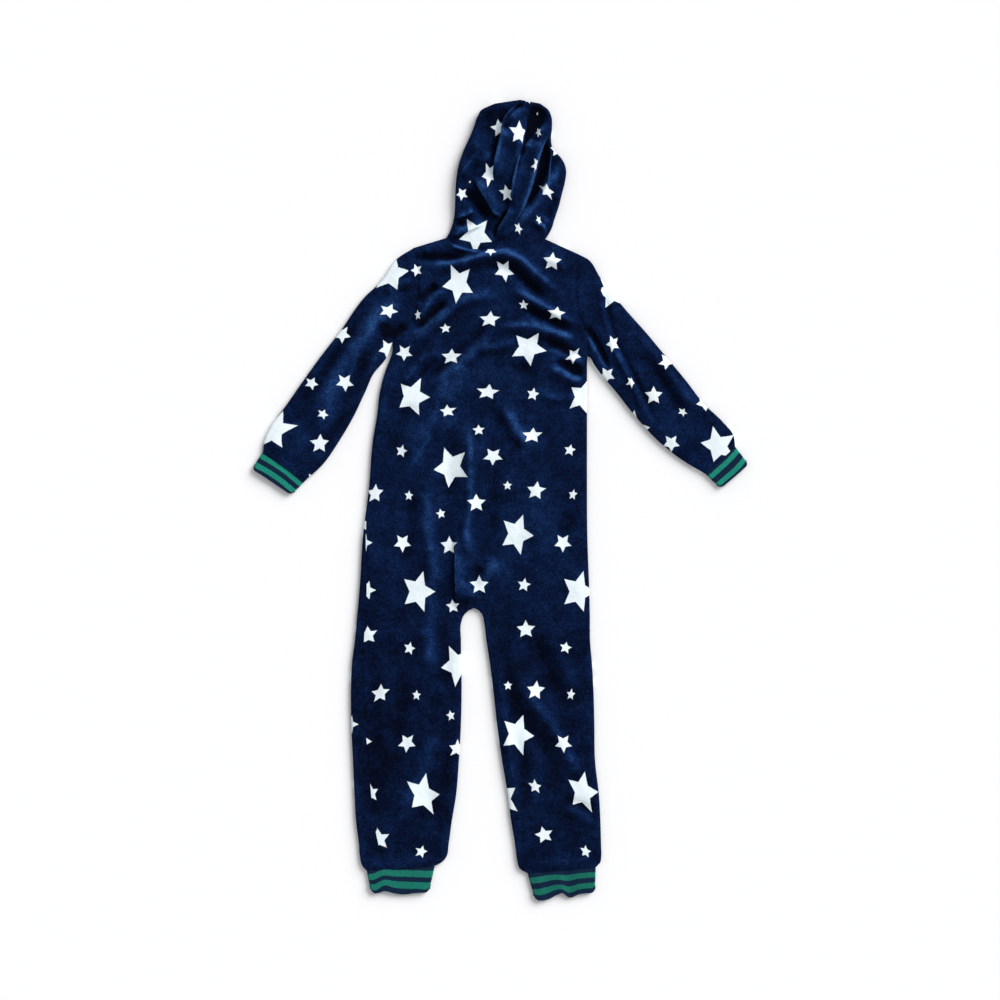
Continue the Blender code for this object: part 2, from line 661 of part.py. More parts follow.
def make_back(outline):
    """The back: one panel with the backs of both legs."""
    sheet = Sheet()
    sheet.grid(body_half(-1, False), True, outline)
    sheet.grid(body_half(1, False)[:, ::-1], True, outline)
    return solid("back", *sheet.wall(), NAVY)


def make_front(name, side, outline):
    """One front with the front of its leg."""
    sheet = Sheet()
    plan = body_half(side, True)
    sheet.grid(plan if side < 0 else plan[:, ::-1], False, outline)
    if side < 0:
        sheet.grid(front_strip(), True, outline)
    return solid(name, *sheet.wall(), NAVY)


def make_sleeve(name, side, outline):
    """A sleeve: a flattened tube, open at the armhole and at the wrist."""
    sheet = Sheet()
    plan = sleeve_plan(side)
    sheet.grid(plan, True, outline)
    sheet.grid(plan, False, outline)
    return solid(name, *sheet.wall(), NAVY)


def make_hood_half(name, side, outline):
    """Half of the hood, from the centre seam over the turned edge to the face opening below."""
    sheet = Sheet()
    sheet.grid([hood_row(side, up, False) for up in HOOD_STEPS], True, outline)
    sheet.grid([hood_row(side, up, True) for up in HOOD_STEPS], False, outline)
    return solid(name, *sheet.wall(), NAVY)


def make_cuff(name):
    """A rib cuff: a flattened tube from the seam to the hem."""
    seam_out, seam_in, hem_out, hem_in = [np.array(p) for p in CUFFS[name]]
    lines = [np.array([hem_out, seam_out]), np.array([seam_in, hem_in])]
    if seam_in[0] < seam_out[0]:
        lines = [line[::-1] for line in lines]
    outline = Outline(lines)
    rows = []
    clear = CUFF_CLEAR / np.linalg.norm(hem_out - seam_out)
    for along in (clear, 0.5, 1):
        outer = mix(seam_out, hem_out, along)
        inner = mix(seam_in, hem_in, along)
        width = np.linalg.norm(inner - outer)
        offsets = spread(width, 1, 1, CUFF_COLUMNS, CUFF_ROLL)
        rows.append(outer + np.outer(offsets / width, inner - outer))
    sheet = Sheet()
    sheet.grid(rows, True, outline, CUFF_ROLL, CUFF_LAID)
    sheet.grid(rows, False, outline, CUFF_ROLL, CUFF_LAID)
    return solid(name, *sheet.wall(), RIB_NAVY)


# Zip, in millimetres: heights above the table and half widths.
TAPE = (2.7, 3.4)
TAPE_FROM = 3.2
TAPE_TO = 16.0
CHAIN = (3.0, 4.6)
CHAIN_HALF = 2.8
SLIDER_Y = 327.0        # where the tab is hinged
SLIDER_REACH = 6.0      # the plates' length, from the hinge down the chain and up past its end
PLATE_HALF = 4.2
INNER_PLATE_HALF = 3.6
OUTER_PLATE = (1.7, 2.4)
INNER_PLATE = (4.9, 5.6)
POST_HALF = 1.2
POST = (ZIP_TOP_Y + 0.5, ZIP_TOP_Y + 2.2)
SUNK = 0.3              # how far joined shapes run into each other
BAIL = (0.1, 0.45)
BAIL_HALF = 1.0
BAIL_LEG = 0.7
BAIL_CLEAR = 0.35       # between the bail and the tab's bar
TAB = (0.7, 1.4)
TAB_LENGTH = 24.0
TAB_HALF = 3.2
EYE_HALF = 1.5
EYE_LENGTH = 3.4
BAR = 0.9               # width of the bar at the tab's end, which turns in the slider's bail


def swept_bar(name, x_from, x_to, heights, top_y, colour):
    """A flat strip beside the centre line, from the zip's end to its top."""
    ys = np.linspace(ZIP_END_Y, top_y, 9)
    middle = np.array([centre_x(y) for y in ys])
    corners = [(x_from, heights[0]), (x_to, heights[0]), (x_to, heights[1]), (x_from, heights[1])]
    points = [(x + dx, y, z) for x, y in zip(middle, ys) for dx, z in corners]
    last = 4 * (len(ys) - 1)
    faces = [[0, 1, 2, 3], [last + 3, last + 2, last + 1, last]]
    for k in range(len(ys) - 1):
        for j in range(4):
            n = (j + 1) % 4
            faces.append([4 * k + j, 4 * k + 4 + j, 4 * k + 4 + n, 4 * k + n])
    return solid(name, points, faces, colour)


def block(name, x, y, z):
    """A steel box between the given limits, in millimetres."""
    corners = [(i, j, k) for i in x for j in y for k in z]
    faces = [[0, 1, 3, 2], [4, 6, 7, 5], [0, 4, 5, 1], [2, 3, 7, 6], [0, 2, 6, 4], [1, 5, 7, 3]]
    return solid(name, corners, faces, STEEL, 0.35, 1.0)


def helper(x, y, z):
    """A box that only joins or cuts another solid."""
    made = block("helper", x, y, z)
    made.hide_render = True
    made.display_type = "WIRE"
    return made


def combine(target, other, operation):
    """Join a helper to a solid, or cut it out."""
    modifier = target.modifiers.new(operation.lower(), "BOOLEAN")
    modifier.operation = operation
    modifier.solver = "EXACT"
    modifier.object = other


def about(middle, half):
    """Limits on both sides of a middle."""
    return middle - half, middle + half


def make_slider(middle):
    """The slider: two plates, the post between them past the chain's end, and the bail."""
    length = (SLIDER_Y - SLIDER_REACH, SLIDER_Y + SLIDER_REACH)
    slider = block("zip_slider", about(middle, PLATE_HALF), length, OUTER_PLATE)
    inner = helper(about(middle, INNER_PLATE_HALF), length, INNER_PLATE)
    post = helper(about(middle, POST_HALF), POST, (OUTER_PLATE[0] + SUNK, INNER_PLATE[1] - SUNK))
    clear = BAR / 2 + BAIL_CLEAR
    bail = (BAIL[0], OUTER_PLATE[0] + SUNK)
    across = about(middle, BAIL_HALF)
    upper = helper(across, (SLIDER_Y + clear, SLIDER_Y + clear + BAIL_LEG), bail)
    lower = helper(across, (SLIDER_Y - clear - BAIL_LEG, SLIDER_Y - clear), bail)
    crown = helper(across, about(SLIDER_Y, clear + BAIL_LEG / 2), BAIL)
    for shape in (inner, post, upper, lower, crown):
        combine(slider, shape, "UNION")
    return slider


def make_pull_tab(middle):
    """The pull tab, with its origin on the axis of the bar that turns in the bail."""
    axis_z = (TAB[0] + TAB[1]) / 2
    end = SLIDER_Y + BAR / 2
    tip = end - TAB_LENGTH
    outline = [(TAB_HALF, end), (TAB_HALF, tip + 2.4), (TAB_HALF - 0.9, tip + 0.7), (TAB_HALF - 2.2, tip)]
    outline += [(-x, y) for x, y in reversed(outline)]
    count = len(outline)
    points = [(x, y - SLIDER_Y, z - axis_z) for z in TAB for x, y in outline]
    faces = [list(range(count)), list(range(2 * count - 1, count - 1, -1))]
    faces += [[k, k + count, (k + 1) % count + count, (k + 1) % count] for k in range(count)]
    tab = solid("pull_tab", points, faces, STEEL, 0.35, 1.0)
    tab.location = (middle * MM, SLIDER_Y * MM, axis_z * MM)
    eye_top = SLIDER_Y - BAR / 2
    eye = helper(about(middle, EYE_HALF), (eye_top - EYE_LENGTH, eye_top), (0, 2 * TAB[1]))
    combine(tab, eye, "DIFFERENCE")
    return tab


def make_zip():
    """Both tapes, the closed chain, the slider and its pull tab."""
    swept_bar("zip_tape_left", -TAPE_TO, -TAPE_FROM, TAPE, ZIP_TOP_Y + 6, TAPE_NAVY)
    swept_bar("zip_tape_right", TAPE_FROM, TAPE_TO, TAPE, ZIP_TOP_Y + 6, TAPE_NAVY)
    swept_bar("zip_chain", -CHAIN_HALF, CHAIN_HALF, CHAIN, ZIP_TOP_Y, COIL)
    middle = centre_x(SLIDER_Y)
    make_slider(middle)
    make_pull_tab(middle)


def main():
    """Clear the scene and build every piece."""
    for old in list(bpy.data.objects):
        bpy.data.objects.remove(old)
    outline = Outline(garment_outlines(), notches())
    make_back(outline)
    make_front("front_left", -1, outline)
    make_front("front_right", 1, outline)
    make_sleeve("sleeve_left", -1, outline)
    make_sleeve("sleeve_right", 1, outline)
    make_hood_half("hood_left", -1, outline)
    make_hood_half("hood_right", 1, outline)
    for name in CUFFS:
        make_cuff(name)
    make_zip()


main()
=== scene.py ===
"""Hooded one-piece pyjama in star-printed fleece, laid flat and face down with its back up.

Every panel is a thin shell of cloth on the form of its solid: a fine grid in plan, lifted to the
upper or the lower layer by one rule, with its folds listed one by one. The print, the pile and the
knit are in the materials; ribs, stitches and zip teeth are grown by Geometry Nodes.
"""
import math

import bpy
import numpy as np
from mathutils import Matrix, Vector, noise


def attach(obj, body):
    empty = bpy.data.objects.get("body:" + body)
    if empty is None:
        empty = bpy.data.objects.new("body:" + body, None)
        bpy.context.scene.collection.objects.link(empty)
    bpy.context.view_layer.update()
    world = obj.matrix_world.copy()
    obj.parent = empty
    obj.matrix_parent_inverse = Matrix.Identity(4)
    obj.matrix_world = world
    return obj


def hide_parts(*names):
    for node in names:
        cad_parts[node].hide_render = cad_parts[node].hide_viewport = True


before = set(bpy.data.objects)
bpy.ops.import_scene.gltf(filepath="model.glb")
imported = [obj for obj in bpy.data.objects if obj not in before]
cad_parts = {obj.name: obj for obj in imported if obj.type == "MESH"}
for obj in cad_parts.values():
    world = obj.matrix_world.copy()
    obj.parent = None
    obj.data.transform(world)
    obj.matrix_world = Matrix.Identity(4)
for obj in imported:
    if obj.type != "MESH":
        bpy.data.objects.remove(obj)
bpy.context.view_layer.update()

MM = 0.001

# Sizes of the garment, in millimetres.
CLOTH = 1.8             # one layer of fleece, with its pile pressed down
SEAM_DRAW = 0.02        # how far each rim is drawn in at a seam
EDGE_ROLL = 3.6         # radius over which the cloth turns at the outline
HOOD_ROLL = 7.0         # the same round the hood, which lies fuller
HOOD_ROLL_Y = (400.0, 60.0)     # where the fuller turn begins, and how far up it takes to get there
LAID = 8.0              # height of the two layers where they lie flat
LOWEST = 4.6            # least height of the upper layer
EDGE_NEAR = 0.02        # points this near a turned edge lie on it
EDGE_REACH = 60.0       # edges farther than this from a group of points aren't measured
FOLD_FADE = 15.0        # distance from the outline over which the folds rise to their height
CELL = 2.3              # grid pitch of the cloth that shows
HOOD_CELL = 1.7         # the same on the hood
COARSE = 5.5            # grid pitch of the cloth underneath
TURN_STEPS = 5          # grid cells round a turned edge
TURN_SHARE = 0.35       # most of a strip's width that the cells of a turned edge take up
STRIP_STEPS = 10        # grid cells across the rolled-over strip, beside those of its turned edge
HALF_WIDTH = 172.0      # width of half the body for which its columns are counted
NECK_SHARE = 0.56       # share of those columns that end at the neck
SLEEVE_LONG = 300.0     # length of a sleeve for which its rows are counted
HOOD_SPAN = (104.0, 200.0)      # width and height of half the hood for which its grid is counted

CROTCH_Y = -162.0
ARMPIT_Y = {-1: 236.0, 1: 216.0}
YOKE_Y = 226.0
ARMHOLE_TOP = {-1: (-129.0, 378.0), 1: (118.5, 368.0)}
NECK_CORNER = {-1: (-80.0, 393.0), 1: (68.0, 391.0)}
BACK_NECK_Y = 375.0
FRONT_NECK_Y = 345.0
LEG_HEM_Y = {-1: (-555.0, -548.0), 1: (-550.0, -559.0)}
CROWN = (30.0, 599.5)
CROWN_SIDE_Y = 594.0
ZIP_END_Y = -60.0
ZIP_TOP_Y = 330.0
ZIP_HALF_GAP = 6.0
FACE_HALF_WIDTH = 28.0
CROTCH_FADE = 50.0      # height above the crotch over which the centre's columns stop crowding
FRONT_NECK_BOW = 1.6    # power of the front neck's curve
ROW_EVEN = 0.12         # share of the way up over which the points of a row spread evenly
ARMHOLE_FADE = 0.3      # share of a sleeve over which its rows lose the curve of the armhole
FACE_TOP = 0.8          # share of the hood's height at which the face opening ends
FACE_CLOSE = (0.7, 0.1)         # where its edges begin to meet, and how far up they take
CUFF_ROLL = 3.3         # radius over which the knit turns at a cuff's sides
CUFF_LAID = 6.9         # height of a cuff's two layers
CUFF_CLEAR = 0.4        # gap between a panel's hem and its cuff


def table(names, *rows):
    """Return the rows of a table as one array for each named column."""
    return dict(zip(names.split(), np.array(rows, float).T))


TORSO = table(
    "y left centre right",
    (375, -161, -6.0, 131.0), (300, -161, -8.0, 131.0), (236, -161, -13.0, 131.0),
    (224, -161, -14.0, 131.0), (210, -165, -16.0, 130.7), (198, -170, -17.0, 130.5),
    (162, -180, -21.0, 130.5), (126, -184.5, -26.0, 130.5),
    (90, -190.5, -30.0, 130.5), (18, -196.5, -34.0, 130.5), (-54, -205.5, -37.0, 131.0),
    (-126, -210, -39.0, 133.5), (-162, -213, -39.0, 134.5), (-210, -217.5, -39.0, 135.0))
LEGS = table(
    "y left_out left_in right_in right_out",
    (-162, -213.0, -39.0, -39.0, 134.5), (-166, -213.5, -48.0, -31.0, 134.5),
    (-171, -214.0, -53.0, -27.0, 134.7), (-183, -215.0, -58.0, -24.0, 134.8),
    (-210, -217.5, -58.5, -20.5, 135.0), (-246, -222.0, -58.0, -15.0, 138.0),
    (-282, -223.5, -57.5, -10.5, 140.0), (-336, -223.0, -58.5, -4.5, 141.5),
    (-390, -220.5, -61.5, 3.0, 142.5), (-444, -218.0, -66.0, 12.0, 148.5),
    (-480, -216.0, -72.0, 16.5, 150.5), (-516, -211.5, -77.0, 22.5, 151.5),
    (-535, -210.0, -80.5, 24.8, 151.8), (-540, -209.2, -84.0, 25.6, 151.2),
    (-545, -208.0, -90.5, 26.6, 149.2), (-548, -206.6, -97.0, 27.4, 145.5),
    (-550, -205.6, -98.0, 28.2, 144.2), (-553, -203.4, -98.0, 30.0, 144.0),
    (-555, -200.8, -98.0, 32.6, 144.0), (-559, -200.0, -98.0, 40.5, 144.0))
ARMHOLE = {
    -1: table("y x", (236, -161), (245, -153), (254, -144), (266, -135), (279, -128), (291, -125),
              (312, -122), (348, -123), (378, -129)),
    1: table("y x", (216, 131), (230, 133), (245, 131), (261, 127), (273, 119.5), (291, 115.5),
             (306, 114), (338, 115.5), (368, 118.5))}
SLEEVE = {
    -1: {"outer": table("x y", (-129, 378), (-156, 360), (-178, 328), (-203, 304), (-240, 252),
                        (-268, 216), (-294, 180), (-319, 144), (-345, 108), (-353, 90), (-355.5, 72)),
         "inner": table("x y", (-161, 236), (-164.5, 226), (-169, 215), (-177, 204), (-187, 193),
                        (-202, 162), (-219, 126), (-240, 90), (-265, 54), (-294, 27))},
    1: {"outer": table("x y", (118.5, 368), (133, 360), (150, 334), (186, 288), (218, 252),
                       (248, 216), (278, 180), (306, 144), (334, 117), (350, 97), (352.5, 80)),
        "inner": table("x y", (131, 216), (136, 212.5), (140, 205), (146, 196), (174, 162),
                       (202.5, 126), (235.5, 90), (270, 62), (308, 39))}}
HOOD = table(
    "y left right",
    (391, -81.0, 68.0), (393, -80.0, 69.5), (405, -74.0, 76.5), (423, -69.0, 82.5),
    (441, -67.5, 88.5), (459, -67.0, 93.0), (477, -66.0, 97.5), (495, -63.5, 99.0),
    (504, -61.5, 96.5), (513, -58.5, 91.0), (525, -54.0, 80.0), (540, -47.0, 76.5),
    (558, -39.5, 78.0), (576, -33.0, 76.5), (585, -27.0, 72.0), (594, -7.5, 60.0))
HOOD_SEAM = table(
    "y x", (375, -6), (410, 4), (440, 12), (477, 20), (520, 32), (560, 36), (599.5, 30))
BACK_NECK = table(
    "x y", (-80, 393), (-64, 380), (-42, 376), (-6, 375), (20, 376.5), (45, 382.5), (68, 391))
SIDE_ROLL = table(
    "y over", (-560, 34), (-505, 28), (-440, 25), (-360, 22), (-204, 13.5), (-150, 12), (-90, 7.5),
    (0, 0), (400, 0))
CUFFS = {
    "wrist_cuff_left": ((-355.5, 72.0), (-294.0, 27.0), (-372.0, 46.5), (-313.0, 7.5)),
    "wrist_cuff_right": ((352.5, 80.0), (308.0, 39.0), (372.0, 54.5), (330.0, 18.0)),
    "ankle_cuff_left": ((-200.0, -554.6), (-98.0, -548.57), (-193.5, -588.0), (-106.5, -588.0)),
    "ankle_cuff_right": ((143.5, -550.15), (41.0, -558.0), (142.5, -588.5), (52.5, -599.65))}

# Broad swells of the upper layer: height, x, y, spread in x, spread in y.
SWELLS = (
    (9.0, 12, 490, 62, 95),
    (3.5, -5, 325, 120, 75),
    (2.0, -40, 80, 130, 170),
    (2.0, -140, -530, 50, 30),
    (2.0, 90, -530, 50, 30),
    (2.5, -250, 200, 60, 70),
    (2.5, 235, 200, 60, 70),
    (2.0, -325, 75, 28, 28),
    (2.0, 325, 80, 28, 28))

# Folds of the upper layer, each with its height (negative for a trough), its spread on the left and
# on the right of its course, how far its crest leans over to the right (negative to the left), and
# its course as points in x and y.
HOOD_FOLDS = (
    (6.0, 12, 2.6, 2.5, ((32, 598), (21, 586), (9, 571), (5, 560), (3, 545), (0, 533), (-5, 509), (-8, 488),
                         (-9, 470))),
    (4.5, 10, 2.6, 1.5, ((48, 598), (35, 590), (23, 576), (14, 562), (9, 543), (4, 524))),
    (-6.0, 5, 5, 0, ((38, 597), (27, 585), (17, 571), (11, 557), (7, 543))),
    (-4.0, 3.0, 8, 0, ((16, 588), (4, 571), (-1, 558), (-2, 543), (-6, 528), (-11, 505), (-14, 484))),
    (6.0, 2.6, 11, -1.5, ((37, 580), (38, 570), (37.5, 555), (33, 535), (28, 516), (22, 490), (18, 465),
                          (14, 441))),
    (-14.0, 12, 12, 0, ((64, 594), (58, 574), (50, 557), (43, 541), (38, 528))),
    (-9.0, 5, 5, 0, ((52, 568), (44, 550), (37, 534), (32, 519), (28, 505))),
    (3.0, 2.5, 4, 0, ((63, 586), (57, 579), (50, 569), (46, 559))),
    (6.5, 11, 2.6, 1.0, ((76, 574), (71, 567), (55, 549), (38, 530), (28, 509), (23, 492), (18, 465),
                         (14, 444), (8, 428))),
    (9.0, 2.4, 10, -3.5, ((78, 562), (75, 551), (62, 530), (55, 509), (51, 492), (43, 466), (35, 444),
                          (25, 422), (14, 402))),
    (-9.5, 8, 8, 0, ((76, 552), (69, 524), (63, 490), (54, 465), (43, 442), (31, 420))),
    (5.0, 2.6, 5, -1.5, ((80, 550), (78, 530), (75, 516), (73, 500), (72, 485), (70, 470))),
    (6.5, 11, 9, 0, ((98, 515), (91, 502), (77, 475), (60, 454), (43, 434), (23, 407), (0, 386))),
    (-4.5, 11, 12, 0, ((90, 452), (80, 430), (70, 414))),
    (6.0, 13, 3.6, 2.0, ((-38, 484), (-34, 475), (-18, 449), (-8, 430), (6, 420))),
    (-5.5, 8, 8, 0, ((-54, 464), (-38, 446), (-25, 430), (-12, 418))),
    (4.5, 10, 2.6, 1.0, ((17, 442), (13, 430), (5, 416), (-2, 403), (-5, 388))),
    (-7.0, 3.5, 4.5, 0, ((12, 434), (3, 420), (-6, 405), (-10, 389))),
    (3.5, 6, 3.0, 0, ((-70, 420), (-60, 424), (-50, 427), (-38, 434))),
    (-4.0, 5, 5, 0, ((-70, 412), (-56, 413), (-42, 420))),
    (4.0, 7, 3.0, 1.0, ((-80, 394), (-66, 397), (-50, 403), (-34, 410), (-22, 420))),
    (3.5, 2.6, 7, 0, ((46, 416), (57, 415), (66, 409), (71, 398), (72, 388))),
    (3.0, 10, 5, 0, ((-30, 520), (-42, 508), (-54, 494), (-60, 478))),
    (-3.0, 14, 14, 0, ((-22, 584), (-18, 560), (-22, 536))),
    (2.5, 8, 8, 0, ((-26, 588), (-4, 593), (16, 590))),
    (2.5, 9, 9, 0, ((-50, 540), (-36, 528), (-22, 512), (-18, 496))))
BACK_FOLDS = (
    (-4.0, 7, 7, 0, ((-136, 364), (-103, 361), (-70, 361), (-43, 365))),
    (2.5, 5, 6, 0, ((-118, 372), (-96, 380), (-84, 386))),
    (2.5, 4, 4, 0, ((-76, 382), (-62, 377), (-44, 373), (-26, 372))),
    (6.0, 6, 11, 0, ((-122, 350), (-96, 352), (-70, 354), (-52, 357), (-34, 362), (-12, 368), (9, 369),
                     (29, 360), (51, 341), (73, 321), (104, 300))),
    (-4.0, 8, 9, 0, ((-30, 345), (0, 350), (20, 342), (34, 330), (52, 314), (74, 297))),
    (3.0, 8, 8, 0, ((60, 366), (84, 356), (104, 340))),
    (4.5, 6, 9, 0, ((10, 317), (30, 309), (44, 301), (62, 290), (84, 279), (106, 266), (122, 254))),
    (-3.5, 7, 8, 0, ((30, 290), (56, 276), (82, 264), (108, 252))),
    (5.5, 10, 9, 0, ((-140, 214), (-133, 222), (-120, 239), (-100, 261), (-85, 274), (-70, 287), (-48, 299),
                     (-22, 304), (6, 302))),
    (4.5, 6, 7, 0, ((-128, 262), (-122, 272), (-111, 288), (-96, 305), (-80, 319))),
    (-4.0, 6, 6, 0, ((-124, 292), (-116, 302), (-104, 312), (-92, 324))),
    (-5.0, 5, 6, 0, ((-130, 250), (-120, 260), (-107, 272), (-92, 286), (-76, 300))),
    (5.0, 6, 11, 0, ((-12, 254), (5, 257), (29, 261), (51, 258), (84, 248), (124, 236))),
    (5.0, 12, 9, 0, ((-98, 130), (-92, 156), (-80, 182), (-59, 200), (-35, 224), (-17, 244), (0, 256))),
    (-4.5, 8, 8, 0, ((-12, 262), (-26, 257), (-43, 234), (-65, 215), (-102, 185), (-118, 166))),
    (3.0, 6, 6, 0, ((-106, 222), (-114, 215), (-133, 189), (-150, 168))),
    (-3.0, 6, 6, 0, ((-92, 214), (-110, 196), (-126, 176))),
    (3.0, 7, 7, 0, ((-38, 218), (-20, 226), (0, 229), (26, 236))),
    (-4.5, 7, 7, 0, ((60, 238), (84, 230), (108, 218), (126, 210))),
    (-5.5, 6, 6, 0, ((84, 212), (95, 201), (112, 190), (130, 187))),
    (4.5, 8, 5, 0, ((100, 214), (112, 209), (124, 203), (134, 205))),
    (3.5, 6, 9, 0, ((70, 200), (84, 192), (106, 180), (130, 176))),
    (-2.5, 12, 12, 0, ((10, 192), (34, 196), (60, 186))),
    (2.5, 8, 8, 0, ((56, 158), (76, 153), (96, 149), (122, 153))),
    (2.0, 9, 9, 0, ((0, 148), (8, 134), (28, 103), (48, 74))),
    (-1.5, 12, 12, 0, ((-20, 156), (-12, 132), (6, 104))),
    (4.8, 7, 8, 0, ((-50, 124), (-46, 81), (-46, -16), (-52, -51), (-44, -87), (-46, -110))),
    (-2.5, 14, 14, 0, ((-72, 110), (-76, 60), (-74, 0), (-80, -60))),
    (3.0, 9, 10, 0, ((-84, 34), (-93, 18), (-111, 0), (-114, -30), (-108, -67), (-102, -105), (-104, -140))),
    (-2.5, 14, 14, 0, ((-132, 20), (-140, -40), (-136, -110))),
    (3.0, 10, 10, 0, ((-98, 138), (-118, 100), (-146, 60))),
    (-2.5, 12, 12, 0, ((-126, 150), (-150, 110), (-164, 60))),
    (3.0, 9, 9, 0, ((-66, 130), (-80, 108), (-96, 86))),
    (3.0, 10, 10, 0, ((4, 138), (20, 102), (46, 76))),
    (-2.0, 14, 14, 0, ((-14, 60), (-10, 0), (-16, -60))),
    (2.5, 16, 16, 0, ((60, 40), (52, -20), (58, -90))),
    (-2.0, 16, 16, 0, ((96, 60), (98, 0), (92, -80))),
    (3.5, 10, 10, 0, ((-62, -152), (-36, -142), (-14, -114), (0, -86))),
    (-3.0, 9, 9, 0, ((-54, -128), (-40, -118), (-26, -98))),
    (7.0, 18, 2.4, 2.5, ((-66, -44), (-65, -80), (-64.5, -120), (-64, -170))))
LEG_FOLDS = (
    (3.0, 12, 12, 0, ((-111, -190), (-112, -225), (-108, -256))),
    (-2.0, 12, 12, 0, ((-84, -196), (-82, -240), (-86, -290))),
    (3.5, 14, 14, 0, ((-100, -330), (-106, -366), (-117, -402), (-160, -490))),
    (-2.0, 14, 14, 0, ((-140, -250), (-150, -330), (-146, -410))),
    (2.5, 12, 12, 0, ((-176, -220), (-172, -300), (-178, -380))),
    (-2.0, 12, 12, 0, ((-96, -420), (-110, -470), (-140, -515))),
    (2.6, 11, 11, 0, ((18, -255), (48, -303), (75, -336), (100, -382), (120, -420))),
    (-2.0, 11, 11, 0, ((6, -290), (34, -326), (60, -366), (78, -400), (88, -436))),
    (2.5, 14, 14, 0, ((70, -200), (96, -250), (112, -310))),
    (-2.0, 14, 14, 0, ((44, -196), (66, -250), (90, -300))),
    (2.0, 7, 9, 0, ((96, -462), (120, -475), (146, -490))),
    (-2.5, 8, 8, 0, ((90, -446), (116, -456), (144, -466))),
    (1.5, 8, 8, 0, ((-12, -215), (-2, -282), (12, -380), (26, -474))),
    (-2.0, 10, 10, 0, ((6, -215), (16, -282), (30, -380), (44, -474))))
SLEEVE_FOLDS = (
    (1.5, 10, 5.0, 0, ((140, 345), (146, 327), (151, 304), (155, 276), (171, 225), (199, 172), (230, 96))),
    (-2.0, 5, 6, 0, ((152, 340), (155, 318), (160, 290), (166, 262), (180, 226), (207, 172), (240, 104))),
    (-7.5, 4, 5, 0, ((130, 262), (138, 246), (147, 230), (156, 212), (164, 194))),
    (1.5, 8, 8, 0, ((146, 262), (158, 240), (174, 214), (190, 190))),
    (2.5, 12, 12, 0, ((196, 268), (226, 226), (268, 170), (300, 120))),
    (-2.0, 10, 10, 0, ((210, 222), (240, 180), (280, 120))),
    (3.0, 11, 11, 0, ((-150, 300), (-190, 262), (-240, 190), (-300, 105))),
    (-2.5, 9, 9, 0, ((-150, 276), (-186, 232), (-226, 168), (-268, 104))),
    (2.5, 9, 9, 0, ((-158, 252), (-184, 214), (-214, 156), (-250, 92))),
    (-4.0, 6, 6, 0, ((-166, 238), (-154, 252), (-140, 262))),
    (3.0, 8, 8, 0, ((-128, 330), (-150, 322), (-172, 306))),
    (-2.0, 8, 8, 0, ((-206, 270), (-240, 222), (-280, 166))))
